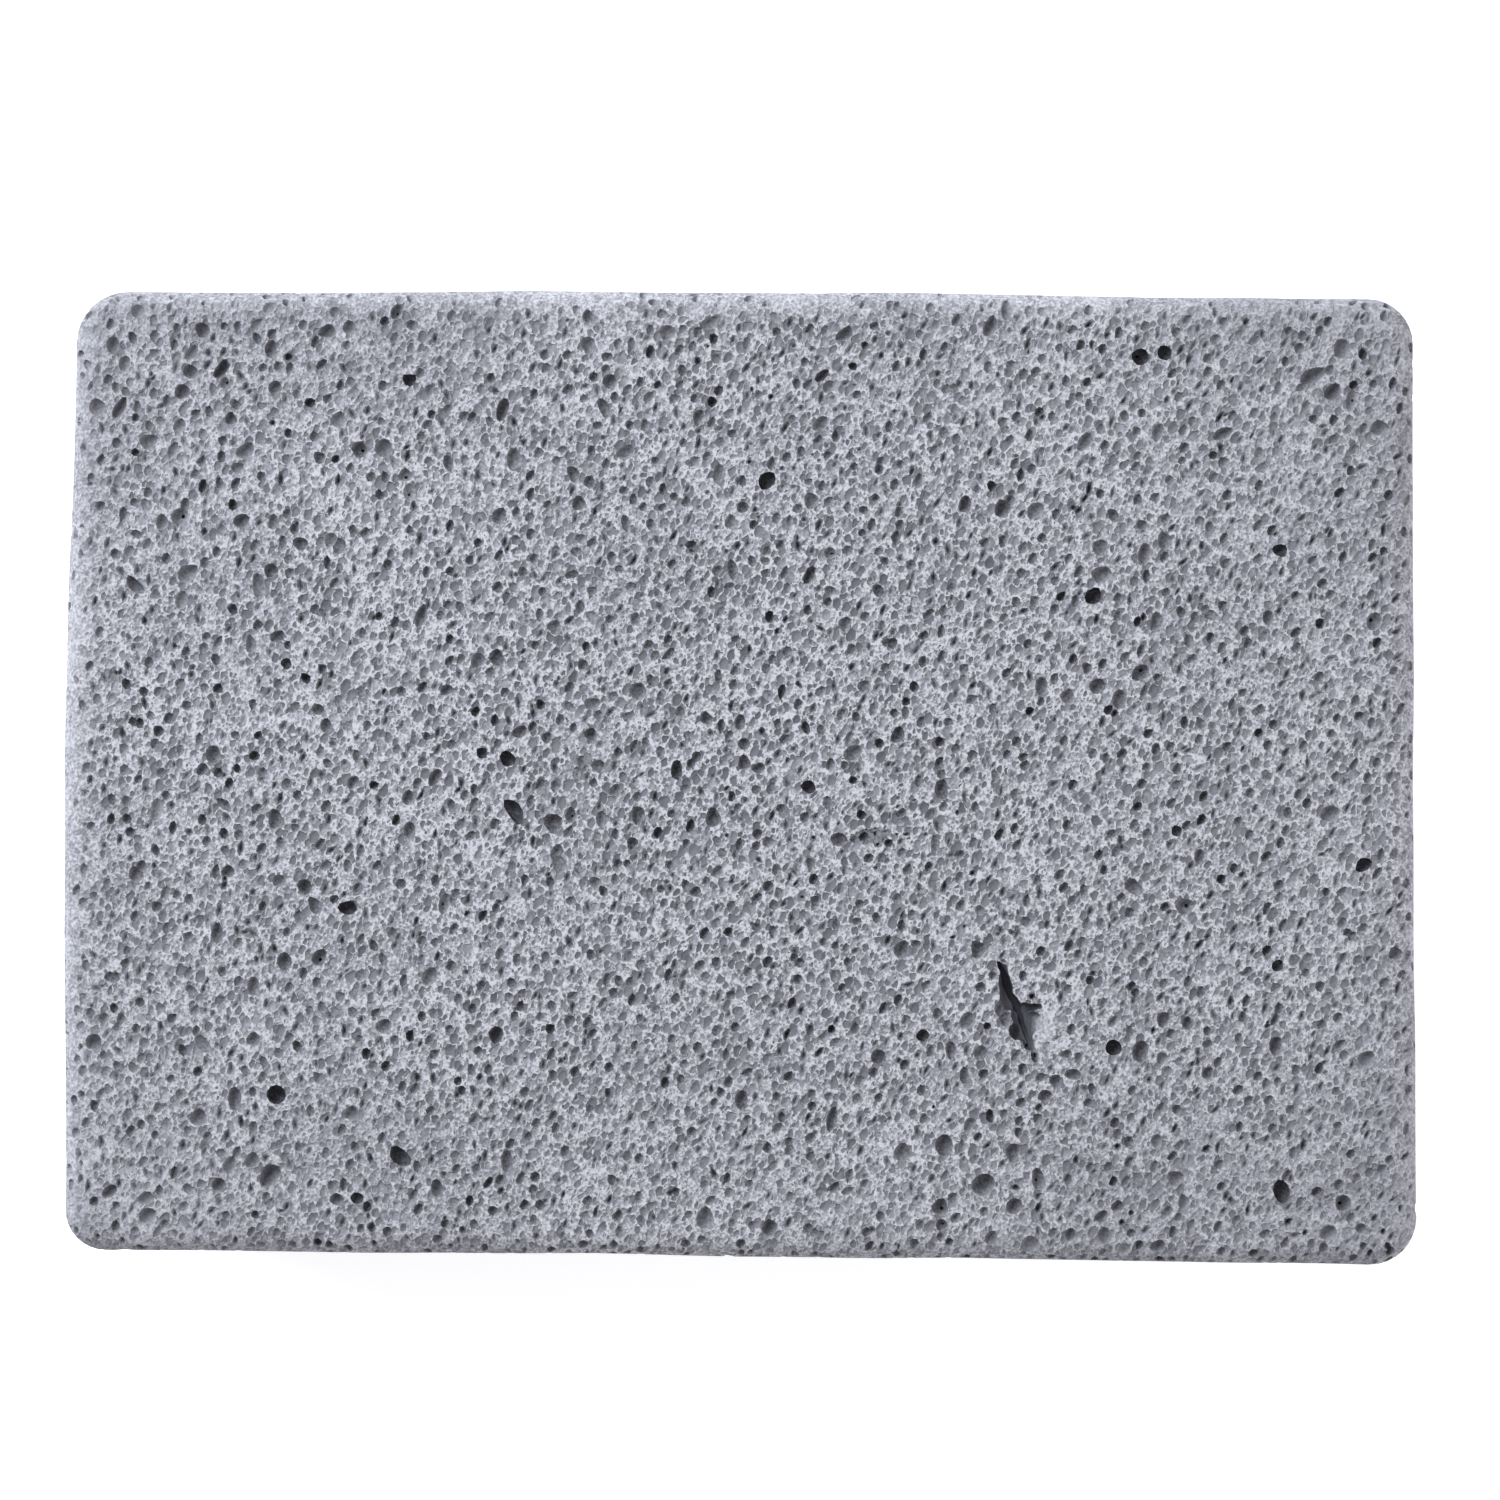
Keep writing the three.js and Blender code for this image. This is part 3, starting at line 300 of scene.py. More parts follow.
        (-36.3, -28.6, 0.67, 0.56, 80, 1), (-46.9, -30.9, 0.63, 0.48, 40, 2),
        (-44.2, -31.4, 0.67, 0.48, 0, 1), (-44.1, -32.7, 0.71, 0.6, 15, 1), (-25.3, -28.3, 0.93, 0.6, 140, 3),
        (-30, -31.5, 0.52, 0.52, 0, 2), (-28.5, -31.4, 0.52, 0.41, 0, 3), (-28.9, -25.1, 0.6, 0.56, 0, 1),
        (-23.1, -14.9, 0.74, 0.6, 60, 1), (-26.5, -18.6, 0.63, 0.56, 45, 1), (2.2, -33.6, 0.67, 0.6, 0, 2),
        (-2.6, -32.9, 0.89, 0.67, 90, 1),
    ],
    "lower_right": [
        (15.2, -27.5, 0.89, 0.71, 95, 2), (20.3, -28, 0.74, 0.56, 80, 2), (18.1, -30.4, 0.97, 0.82, 60, 2),
        (14.9, -32.1, 0.71, 0.63, 0, 2), (20.4, -32, 0.67, 0.6, 0, 2), (22.2, -30, 0.89, 0.52, 95, 2),
        (27.8, -20.2, 0.63, 0.6, 160, 3), (29.8, -20.5, 0.89, 0.63, 75, 2), (31.5, -18.1, 0.63, 0.52, 90, 2),
        (34.8, -22.1, 0.52, 0.45, 60, 2), (12.1, -28, 0.74, 0.67, 70, 1), (31.1, -35, 0.63, 0.52, 20, 2),
        (26.9, -32.8, 0.6, 0.45, 40, 2), (28.1, -32, 0.48, 0.45, 0, 2), (32.4, -29.9, 0.63, 0.6, 0, 1),
        (21.6, -34.9, 0.82, 0.67, 0, 1), (40.3, -30.9, 0.89, 0.63, 95, 3), (44.9, -31.8, 0.67, 0.63, 0, 2),
        (43.8, -34, 0.71, 0.6, 0, 1), (48.8, -13.2, 0.63, 0.48, 10, 2), (40, -14.1, 0.48, 0.41, 20, 3),
        (46.6, -21, 0.71, 0.56, 30, 1), (17.7, -12.9, 0.71, 0.56, 100, 2), (23.5, -22.7, 0.56, 0.48, 100, 2),
        (24.8, -22.2, 0.63, 0.45, 170, 2), (16.9, -18.2, 0.71, 0.56, 60, 1), (17.9, -20.6, 0.6, 0.56, 0, 1),
        (13.6, -19.3, 0.5, 0.45, 0, 3), (18.4, -18.6, 0.33, 0.33, 0, 3), (15.7, -20.4, 0.7, 0.45, 90, 2),
        (16.7, -22.3, 0.75, 0.4, 95, 2), (13.5, -23.4, 0.45, 0.4, 90, 2), (14.4, -24.6, 0.2, 0.2, 0, 3),
        (15.6, -25.7, 0.35, 0.3, 0, 2), (17.1, -25.9, 0.55, 0.45, 45, 1), (18.6, -25.3, 0.6, 0.33, 95, 3),
        (20.9, -24.3, 0.45, 0.4, 0, 2), (22.7, -23.8, 0.55, 0.5, 0, 2), (22.4, -22.4, 0.45, 0.35, 0, 2),
        (24.3, -20.7, 0.48, 0.35, 0, 2), (33.3, -18.4, 0.5, 0.45, 90, 2), (31.4, -21, 0.5, 0.45, 90, 1),
        (20.5, -30.6, 0.4, 0.3, 0, 3), (15, -33.4, 0.5, 0.45, 30, 2), (18.7, -34.4, 0.6, 0.5, 90, 1),
        (28.4, -33.2, 0.33, 0.3, 0, 3), (29.1, -32.5, 0.28, 0.28, 0, 3), (29.1, -34, 0.4, 0.35, 0, 2),
        (33, -31.7, 0.6, 0.45, 90, 1), (32.5, -24.8, 0.4, 0.4, 0, 2), (31, -27.2, 0.6, 0.45, 90, 1),
        (28.9, -27.2, 0.5, 0.4, 90, 2), (28.1, -27.6, 0.33, 0.3, 0, 3), (25.2, -31.5, 0.5, 0.3, 90, 2),
        (24.4, -30, 0.45, 0.35, 90, 2), (25.9, -24.3, 0.38, 0.36, 0, 2), (23.8, -33, 0.4, 0.3, 80, 2),
        (24.6, -34.1, 0.5, 0.45, 90, 2), (26.3, -19.9, 0.45, 0.25, 0, 2), (25.8, -18.9, 0.5, 0.3, 90, 2),
        (29.3, -16.7, 0.4, 0.3, 90, 2), (25.9, -16.8, 0.4, 0.17, 90, 3), (17.9, -15.7, 0.45, 0.4, 20, 2),
        (13.2, -20.8, 0.33, 0.3, 0, 2),
    ],
}
# The darker grades are partly painted shade
TONE_AND_PAINTED_SHADE_OF_GRADE = np.array([0, 0.3, 0.5, 0.95])

# The torn hollows: the split's shallow bed and the deep channel along it, and the ragged patch. Each has a
# jagged mouth, a line that its floor is drawn in towards, a depth, a tone that paints shade into its walls,
# and the share of that depth and of the mouth's width at each level
TORN = [
    {
        "name": "split_bed", "depth": 0.9, "tone_and_painted_shade": 1.3, "levels": ((0.5, 0.85), (1, 0.5)),
        "line": ((19.5, -13.8), (21.95, -21.34)),
        "mouth": [
            (19.13, -13.85), (19.19, -14.33), (19.31, -14.54), (19.19, -14.97), (19.14, -15.5),
            (19.24, -16.03), (19.22, -16.56), (19.29, -17.09), (19.35, -17.46), (19.77, -17.5),
            (20.04, -17.45), (20.14, -17.54), (20.07, -17.94), (20.27, -18.26), (20.09, -18.69),
            (20.11, -19.11), (20.33, -19.45), (20.62, -19.66), (20.94, -19.75), (21.02, -19.91),
            (21.15, -20.23), (21.47, -20.39), (21.68, -20.44), (21.63, -20.81), (21.7, -21.13),
            (21.95, -21.34), (22.22, -21.24), (22.32, -20.92), (22.16, -20.49), (21.99, -20.07),
            (21.9, -19.75), (21.81, -19.43), (21.9, -19.16), (22.13, -18.85), (22.32, -18.37),
            (22.48, -18.05), (22.5, -17.73), (22.29, -17.58), (22, -17.47), (22.22, -17.3), (22.69, -17.22),
            (22.61, -16.93), (22.06, -16.86), (21.63, -16.9), (21.21, -16.79), (20.89, -16.9),
            (20.71, -16.65), (20.5, -16.45), (20.27, -16.11), (20.32, -15.71), (20.2, -15.34),
            (20.07, -14.97), (19.98, -14.54), (19.91, -14.2), (19.53, -13.92), (19.29, -13.8),
        ],
    },
    {
        "name": "split_channel", "depth": 1.7, "tone_and_painted_shade": 1.6, "levels": ((0.5, 0.85), (1, 0.6)),
        "line": ((19.24, -13.69), (21.58, -20.44)),
        "mouth": [
            (19.08, -13.8), (19.19, -14.33), (19.36, -14.54), (19.47, -15.07), (19.5, -15.6),
            (19.77, -16.14), (19.95, -16.56), (20.27, -16.99), (20.33, -17.41), (20.67, -17.73),
            (20.73, -18.26), (20.97, -18.79), (21.12, -19.32), (21.33, -19.75), (21.36, -20.28),
            (21.61, -20.39), (21.76, -19.96), (21.68, -19.54), (21.58, -19.16), (21.5, -18.9),
            (21.33, -18.47), (21.26, -17.94), (21.12, -17.52), (21.23, -17.11), (20.93, -16.86),
            (20.74, -16.58), (20.31, -16.09), (20.37, -15.71), (20.24, -15.33), (20.11, -14.94),
            (19.89, -14.54), (19.66, -14.22), (19.31, -13.75),
        ],
    },
    {
        "name": "torn_bed", "depth": 0.2, "tone_and_painted_shade": 0.6, "levels": ((0.5, 0.9), (1, 0.6)),
        "line": ((8.08, -4.6), (11.48, -4.6)),
        "mouth": [
            (8.15, -4.6), (8.26, -4.26), (8.5, -4.3), (8.68, -4.2), (8.88, -4.05), (8.98, -3.92),
            (9.17, -3.88), (9.51, -3.92), (9.7, -3.84), (9.99, -3.77), (10.38, -3.94), (10.58, -4.09),
            (10.89, -3.92), (11.24, -3.86), (11.32, -4.12), (11.09, -4.44), (10.84, -4.6), (11.11, -4.71),
            (11.41, -4.77), (11.38, -5.08), (11.21, -5.5), (10.98, -5.33), (10.63, -5.11), (10.49, -5.37),
            (10.04, -5.37), (9.89, -5.03), (9.57, -5.08), (9.32, -5.26), (9.11, -5.13), (8.88, -5.2),
            (8.68, -5.05), (8.5, -5.08), (8.24, -4.92),
        ],
    },
]
# The rounder dents in the split and beside it: x, y, half length, half width, turn in degrees, depth, and
# tone, partly painted shade
SPLIT_DENTS = [
    (20.46, -19.01, 0.64, 0.45, 100, 1.1, 1.3), (21.4, -20.09, 0.34, 0.26, 20, 1.3, 1.5),
    (21.99, -20.83, 0.49, 0.30, 105, 0.9, 0.9), (22.78, -20.28, 0.66, 0.36, 85, 0.3, 0.1),
    (21.74, -16.4, 0.32, 0.30, 0, 0.7, 1.1), (19.74, -14.29, 0.32, 0.26, 60, 0.6, 0.7),
]
# Powder pressed smooth beside it, over which hardly a bubble is open: x, y, half length, half width, turn
SMOOTHED = [(22.55, -19, 1.7, 0.45, 80), (23.35, -20.3, 0.9, 0.3, 90)]

# The photograph's frame: its width in pixels, its scale where the block is widest, just under its upper
# rim, and where the block's middle lies in it
PHOTO_PIXELS = 1500
PIXELS_PER_MM = 13.55
MIDDLE_PIXEL = (739.5, 777.7)
CAMERA_HEIGHT = 330
SENSOR = 36
# The marks on the worked face were read off the photograph at this scale, from this pixel
MARK_PIXELS_PER_MM = 13.44
MARK_MIDDLE_PIXEL = (740, 776)

# The block's outline, from the lower left corner anticlockwise: its corners, the runs between them, and the
# middles and turns of its worn corners
quarters = np.array([(-1, -1), (1, -1), (1, 1), (-1, 1)])
corners = quarters * ([LENGTH / 2, WIDTH / 2] - np.array(CORNER_INSETS))
runs = np.roll(corners, -1, axis=0) - corners
side_lengths = np.linalg.norm(runs, axis=1)
along = runs / side_lengths[:, None]
outward = np.stack([along[:, 1], -along[:, 0]], axis=1)
arc_middles = corners + CORNER_RADII[:, None] * (along - np.roll(along, 1, axis=0))
facing = np.arctan2(outward[:, 1], outward[:, 0])
corner_turns = np.mod(facing - np.roll(facing, 1), 2 * np.pi)


def wave(side, distance):
    """How far a sawn side stands out from its straight line: its bulge times a squared half sine, less a
    wave of two sines of the distance along it, faded out to both ends by the half sine."""
    fade = np.sin(np.pi * np.clip(distance / side_lengths[side], 0, 1))
    first, second = (
        np.sin(2 * np.pi * distance / length + 2 * side + i) / (i + 1)
        for i, length in enumerate(WAVE_LENGTHS)
    )
    return SIDE_BULGES[side] * fade ** 2 - WAVE_HEIGHT * fade * (1 + 0.5 * (first + second))


def arc(corner, start, end, inset):
    """Points on a worn corner: its middle, plus its radius less the inset times each angle's direction."""
    angles = np.linspace(start, end, ARC_STEPS + 1)
    directions = np.stack([np.cos(angles), np.sin(angles)], axis=1)
    return arc_middles[corner] + (CORNER_RADII[corner] - inset) * directions


def side_line(side, inset):
    """One side of the worn outline, inset: half the corner before it, its wavy run, half the corner after."""
    ahead = (side + 1) % 4
    face = facing[side]
    before = arc(side, face - corner_turns[side] / 2, face, inset)
    after = arc(ahead, face, face + corner_turns[ahead] / 2, inset)
    first = CORNER_RADII[side]
    last = side_lengths[side] - CORNER_RADII[ahead]
    distance = np.linspace(first, last, RUN_STEPS[side % 2] + 1)[1:-1, None]
    run = corners[side] + along[side] * distance + outward[side] * (wave(side, distance) - inset)
    return np.concatenate([before, run, after])


def share_along(line):
    """How far along a line each of its points lies, from 0 to 1."""
    steps = np.linalg.norm(np.diff(line, axis=0), axis=1)
    return np.concatenate([[0], np.cumsum(steps)]) / steps.sum()


def face_grid(inset):
    """A grid that fills the inset outline: each point is the blend of the two long sides by its share
    across, plus the blend of the two short sides by its share along, less the blend of the four corners."""
    low, right, high, left = (side_line(side, inset) for side in range(4))
    high, left = high[::-1], left[::-1]
    u = share_along(low)[:, None, None]
    v = share_along(left)[None, :, None]
    by_long = (1 - v) * low[:, None] + v * high[:, None]
    by_short = (1 - u) * left[None] + u * right[None]
    by_corner = (1 - u) * ((1 - v) * low[0] + v * high[0]) + u * ((1 - v) * low[-1] + v * high[-1])
    return by_long + by_short - by_corner


def grid_faces(rows, columns, closed=False):
    """The corner numbers of a grid's quads: rows, columns and outwards are right-handed."""
    row = np.arange(rows - 1)[:, None]
    column = np.arange(columns if closed else columns - 1)[None]
    ahead = (column + 1) % columns
    here = row * columns
    below = here + columns
    return np.stack([here + column, below + column, below + ahead, here + ahead], axis=-1).reshape(-1, 4)


def rim_profile():
    """How far in and how high each ring of the block's side lies, from the upper face down to the lower
    one: a quarter round, a straight wall and a quarter round."""
    angles = np.linspace(0, math.pi / 2, RIM_STEPS + 1)
    inset = RIM_RADIUS * (1 - np.sin(angles))
    drop = RIM_RADIUS * (1 - np.cos(angles))
    wall = THICKNESS - 2 * RIM_RADIUS
    heights = THICKNESS - RIM_RADIUS - wall * np.arange(1, WALL_STEPS) / WALL_STEPS
    return (
        np.concatenate([inset, np.zeros(WALL_STEPS - 1), inset[::-1]]),
        np.concatenate([THICKNESS - drop, heights, drop[::-1]]),
    )


def on_worked_face(x, y):
    """Moves marks as read off the photograph to where they lie on the worked face, which is a little nearer
    the camera than the widest part. It gives their places, and what their sizes are to be multiplied by."""
    face_scale = PIXELS_PER_MM * (CAMERA_HEIGHT + RIM_RADIUS) / CAMERA_HEIGHT
    scale = MARK_PIXELS_PER_MM / face_scale
    across = scale * x + (MARK_MIDDLE_PIXEL[0] - MIDDLE_PIXEL[0]) / face_scale
    up = scale * y + (MIDDLE_PIXEL[1] - MARK_MIDDLE_PIXEL[1]) / face_scale
    return across, up, scale


def unevenness(points):
    """The slight hills of a hand-worked face: a sum of sines of the place along three crossed ways."""
    hills = 0
    for i, length in enumerate(UNEVEN_LENGTHS):
        turn = UNEVEN_TURN * i
        direction = np.array([math.cos(turn), math.sin(turn), UNEVEN_CLIMB]) / length
        hills = hills + np.sin(2 * np.pi * points @ direction + UNEVEN_SHIFT * i)
    return -UNEVENNESS * (1 + hills / len(UNEVEN_LENGTHS))


def new_mesh(name, vertices, faces):
    """A mesh from an array of points and a list of arrays of corner numbers, one for each kind of face."""
    mesh = bpy.data.meshes.new(name)
    mesh.from_pydata(vertices.tolist(), [], [face for kind in faces for face in kind.tolist()])
    mesh.update()
    return mesh


def new_object(name, held):
    """An object in the scene that holds a mesh, a light or a camera."""
    made = bpy.data.objects.new(name, held)
    bpy.context.scene.collection.objects.link(made)
    return made


def values_of(items, attribute, width):
    """One attribute of all of a mesh's items, as an array with a row for each."""
    values = np.empty(len(items) * width, dtype=np.float32)
    items.foreach_get(attribute, values)
    return values.reshape(-1, width).astype(float)


def bare_block():
    """The block before its bubbles: a filled grid on top, rings of the outline carried down the rim
    profile, and a filled grid below, merged into one skin and pressed in by its unevenness."""
    flat = face_grid(RIM_RADIUS)
    rows, columns = flat.shape[:2]
    lid = flat.reshape(-1, 2)
    insets, heights = rim_profile()
    rings = []
    for inset, height in zip(insets, heights):
        ring = np.concatenate([side_line(side, inset)[:-1] for side in range(4)])
        rings.append(np.column_stack([ring, np.full(len(ring), height)]))
    upper = np.column_stack([lid, np.full(len(lid), THICKNESS)])
    lower = np.column_stack([lid, np.zeros(len(lid))])
    band = np.concatenate(rings)
    lid_faces = grid_faces(rows, columns)
    vertices = np.concatenate([upper, lower, band])
    faces = [
        lid_faces,
        lid_faces[:, ::-1] + len(lid),
        grid_faces(len(rings), len(rings[0]), closed=True) + 2 * len(lid),
    ]
    mesh = new_mesh("block", vertices, faces)
    shaped = bmesh.new()
    shaped.from_mesh(mesh)
    bmesh.ops.remove_doubles(shaped, verts=shaped.verts, dist=MERGE_WITHIN)
    bmesh.ops.recalc_face_normals(shaped, faces=shaped.faces)
    shaped.to_mesh(mesh)
    shaped.free()
    places = values_of(mesh.vertices, "co", 3)
    normals = values_of(mesh.vertex_normals, "vector", 3)
    mesh.vertices.foreach_set("co", (places + normals * unevenness(places)[:, None]).ravel())
    mesh.update()
    return mesh


def skin_spots(mesh, count, on_top):
    """Places thrown evenly over a mesh's skin, with the way the skin faces there. A triangle is hit in
    proportion to its area, and a point in it by the square root rule."""
    mesh.calc_loop_triangles()
    corners_of = np.empty(len(mesh.loop_triangles) * 3, dtype=np.int32)
    mesh.loop_triangles.foreach_get("vertices", corners_of)
    corners_of = corners_of.reshape(-1, 3)
    places = values_of(mesh.vertices, "co", 3)[corners_of]
    normals = values_of(mesh.vertex_normals, "vector", 3)[corners_of]
    cross = np.cross(places[:, 1] - places[:, 0], places[:, 2] - places[:, 0])
    area = np.linalg.norm(cross, axis=1)
    upward = places[:, :, 2].mean(axis=1) > THICKNESS - RIM_RADIUS
    area = np.where(upward == on_top, area, 0)
    hit = rng.choice(len(area), count, p=area / area.sum())
    root = np.sqrt(rng.random(count))
    across = rng.random(count)
    shares = np.stack([1 - root, root * (1 - across), root * across], axis=1)[:, :, None]
    facing_there = (normals[hit] * shares).sum(axis=1)
    facing_there /= np.linalg.norm(facing_there, axis=1, keepdims=True)
    return (places[hit] * shares).sum(axis=1), facing_there


# A bubble is a row of these columns; its mouth lies on the skin and its axis runs straight in
SPOT, FACING, TURN, HALF_LONG, HALF_SHORT, DEPTH, DARK = slice(0, 3), slice(3, 6), 6, 7, 8, 9, 10
COLUMNS = 11


def bubble_rows(spot, facing_there, turn, half_long, half_short, depth, tone_and_painted_shade):
    """Bubbles from their columns, each an array or one value for all."""
    rows = np.empty((len(spot), COLUMNS))
    rows[:, SPOT] = spot
    rows[:, FACING] = facing_there
    rows[:, TURN] = turn
    rows[:, HALF_LONG] = half_long
    rows[:, HALF_SHORT] = half_short
    rows[:, DEPTH] = depth
    rows[:, DARK] = tone_and_painted_shade
    return rows


def worked_face_bubbles():
    """The bubbles listed one by one on the worked face, and the dents beside the split."""
    listed = np.array([bubble for group in HAND_SET.values() for bubble in group], dtype=float)
    tone_and_painted_shade = TONE_AND_PAINTED_SHADE_OF_GRADE[listed[:, 5].astype(int)]
    depth = listed[:, 3] * (HAND_DEPTH + HAND_DEPTH_BY_TONE * tone_and_painted_shade)
    dents = np.array(SPLIT_DENTS)
    x, y, half_long, half_short, turn = np.concatenate([listed[:, :5], dents[:, :5]]).T
    x, y, scale = on_worked_face(x, y)
    spot = np.stack([x, y, np.full(len(x), THICKNESS)], axis=1)
    up = np.tile([0, 0, 1], (len(x), 1))
    return bubble_rows(
        spot, up, np.radians(turn), scale * half_long, scale * half_short,
        np.concatenate([depth, dents[:, 5]]), np.concatenate([tone_and_painted_shade, dents[:, 6]]),
    )


def grain_turn(spots):
    """The way the bubbles are drawn out, which swings from upright at the left to a slant at the right."""
    return np.radians(GRAIN_TURN - GRAIN_SWING * spots[:, 0]) + rng.normal(0, GRAIN_SPREAD, len(spots))


def smoothed_at(points):
    """How smooth the powder beside the split is at each point: 1 in the middle of a smoothed patch, falling
    to 0 at one and a half times its half widths."""
    x, y, half_long, half_short, turn = np.array(SMOOTHED).T
    x, y, scale = on_worked_face(x, y)
    turn = np.radians(turn)
    to_x = points[:, None, 0] - x
    to_y = points[:, None, 1] - y
    share_long = (to_x * np.cos(turn) + to_y * np.sin(turn)) / (scale * half_long)
    share_short = (to_y * np.cos(turn) - to_x * np.sin(turn)) / (scale * half_short)
    fall = np.clip(3 - 2 * np.hypot(share_long, share_short), 0, 1).max(axis=1)
    return fall * (points[:, 2] > THICKNESS - RIM_RADIUS / 2)


def powder_and_light_at(points):
    """How much powder lies at each point, and with it painted light, as the bands are strongest on the lit
    rims:
    it falls off from each side of the outline over that side's band, and down from the worked face over three
    rim radii. The strongest side counts, or the smoothed patch if more."""
    to_sides = ((corners - points[:, None, :2]) * outward).sum(axis=2)
    strength, reach = np.array(POWDER_AND_LIGHT_BANDS).T
    # The bands lighten the lit left and upper rims most: partly real powder, partly painted light
    near_side = (strength * np.clip(1 - to_sides / reach, 0, 1)).max(axis=1)
    along_rim = near_side * np.clip(1 - (THICKNESS - points[:, 2]) / (POWDER_DROP * RIM_RADIUS), 0, 1)
    return np.maximum(along_rim, smoothed_at(points))


def thrown_bubbles(mesh, name, throws, on_top):
    """Bubbles thrown at the skin. Small ones are commoner than large ones of the same class, most are round
    and middling dark, partly as painted shade, and a few are long or painted black as shade. Powder, which
    also paints light along the lit rims, has closed most of those that it lies on."""
    spot, facing_there = skin_spots(mesh, throws, on_top)
    smallest, largest = SIZES[name]
    half_short = smallest + (largest - smallest) * rng.random(throws) ** SIZE_RARITY[name]
    stretch = LEAST_STRETCH + MORE_STRETCH * rng.random(throws) ** STRETCH_RARITY
    tone_and_painted_shade = np.clip(rng.normal(TONE_AND_PAINTED_SHADE, TONE_AND_PAINTED_SHADE_SPREAD, throws), *TONE_AND_PAINTED_SHADE_LIMITS)
    black = rng.random(throws) < BLACK_SHARE[name]
    # Black bubbles are painted black, as shade
    tone_and_painted_shade = np.where(black, rng.uniform(*BLACK_PAINTED_SHADES, throws), tone_and_painted_shade)
    stretch = np.where(black, 1 + BLACK_STRETCH * (stretch - 1), stretch)
    depth = half_short * (THROWN_DEPTH + THROWN_DEPTH_BY_TONE * tone_and_painted_shade) * rng.uniform(*DEPTH_CHANCE, throws)
    half_short = half_short / np.sqrt(stretch)
    rows = bubble_rows(spot, facing_there, grain_turn(spot), half_short * stretch, half_short, depth, tone_and_painted_shade)
    return rows[powder_and_light_at(spot) < rng.uniform(*POWDER_CLOSES, throws)]


def settle(thrown, settled, most):
    """Keeps, one after another, each thrown bubble whose middle is further from every settled one than
    their mean half widths and the gap together, until there are enough."""
    size = np.sqrt(thrown[:, HALF_LONG] * thrown[:, HALF_SHORT])
    held_spots = np.concatenate([settled[:, SPOT], np.zeros((most, 3))])
    held_sizes = np.concatenate([np.sqrt(settled[:, HALF_LONG] * settled[:, HALF_SHORT]), np.zeros(most)])
    count = len(settled)
    kept = []
    for i in np.argsort(-size):
        room = np.linalg.norm(held_spots[:count] - thrown[i, SPOT], axis=1) - held_sizes[:count] - size[i]
        if room.min() > BUBBLE_GAP:
            held_spots[count] = thrown[i, SPOT]
            held_sizes[count] = size[i]
            count += 1
            kept.append(i)
            if len(kept) == most:
                break
    return np.concatenate([settled, thrown[kept]])


# Where the skin's normal rises less than this, the skin belongs to a side
STEEP = 0.7


def frames_of(bubbles):
    """Three unit directions for each bubble: its long way, its short way and the way out. The long way is
    the turned x axis, or the x axis turned up the wall on a side, laid into the skin."""
    out = bubbles[:, FACING]
    turn = bubbles[:, TURN]
    on_side = np.abs(out[:, 2]) < STEEP
    across = np.where(on_side[:, None], np.stack([-out[:, 1], out[:, 0], 0 * turn], axis=1), [1.0, 0, 0])
    other = np.cross(out, across)
    other /= np.linalg.norm(other, axis=1, keepdims=True)
    across = np.cross(other, out)
    long_way = np.cos(turn)[:, None] * across + np.sin(turn)[:, None] * other
    return long_way, np.cross(out, long_way), out


def twins_of(bubbles, share):
    """Smaller bubbles run together with some of the others, each over its neighbour's edge somewhere."""
    chosen = bubbles[rng.random(len(bubbles)) < share]
    long_way, short_way, _ = frames_of(chosen)
    count = len(chosen)
    angle = rng.uniform(0, 2 * np.pi, count)
    shrink = rng.uniform(*TWIN_SIZES, count)
    reach = rng.uniform(*TWIN_REACH, count)[:, None] * (1 + shrink[:, None])
    aside = (
        np.cos(angle)[:, None] * long_way * chosen[:, HALF_LONG, None]
        + np.sin(angle)[:, None] * short_way * chosen[:, HALF_SHORT, None]
    )
    twins = chosen.copy()
    twins[:, SPOT] += reach * aside
    twins[:, TURN] += rng.normal(0, TWIN_TURN_SPREAD, count)
    twins[:, [HALF_LONG, HALF_SHORT, DEPTH]] *= shrink[:, None]
    twins[:, DARK] = np.clip(chosen[:, DARK] + rng.normal(0, TWIN_TONE_AND_PAINTED_SHADE_SPREAD, count), TONE_AND_PAINTED_SHADE_LIMITS[0], 1)
    return twins


def inner_holes_of(bubbles, share):
    """A small hole in the floor of some large bubbles, painted black as shade, broken through to the next
    bubble down.
    """
    large = bubbles[:, HALF_SHORT] > SIZES["large"][0]
    chosen = bubbles[large & (rng.random(len(bubbles)) < share)]
    long_way, short_way, out = frames_of(chosen)
    count = len(chosen)
    angle = rng.uniform(0, 2 * np.pi, count)[:, None]
    size = chosen[:, HALF_SHORT, None]
    holes = chosen.copy()
    holes[:, SPOT] += HOLE_ASIDE * size * (np.cos(angle) * long_way + np.sin(angle) * short_way)
    holes[:, SPOT] -= HOLE_START * chosen[:, DEPTH, None] * out
    holes[:, HALF_LONG] = HOLE_LONG * chosen[:, HALF_SHORT]
    holes[:, HALF_SHORT] = HOLE_SHORT * chosen[:, HALF_SHORT]
    holes[:, DEPTH] *= HOLE_DEPTH
    # The holes are painted black, as shade
    holes[:, DARK] = 1
    return holes


# How many batches of bubbles there can be, and how far a cup may reach past its bubble's half length, as a
# share, and past its neighbour
MOST_BATCHES = 8
CUP_REACH = 1.15
CUP_GAP = 0.02


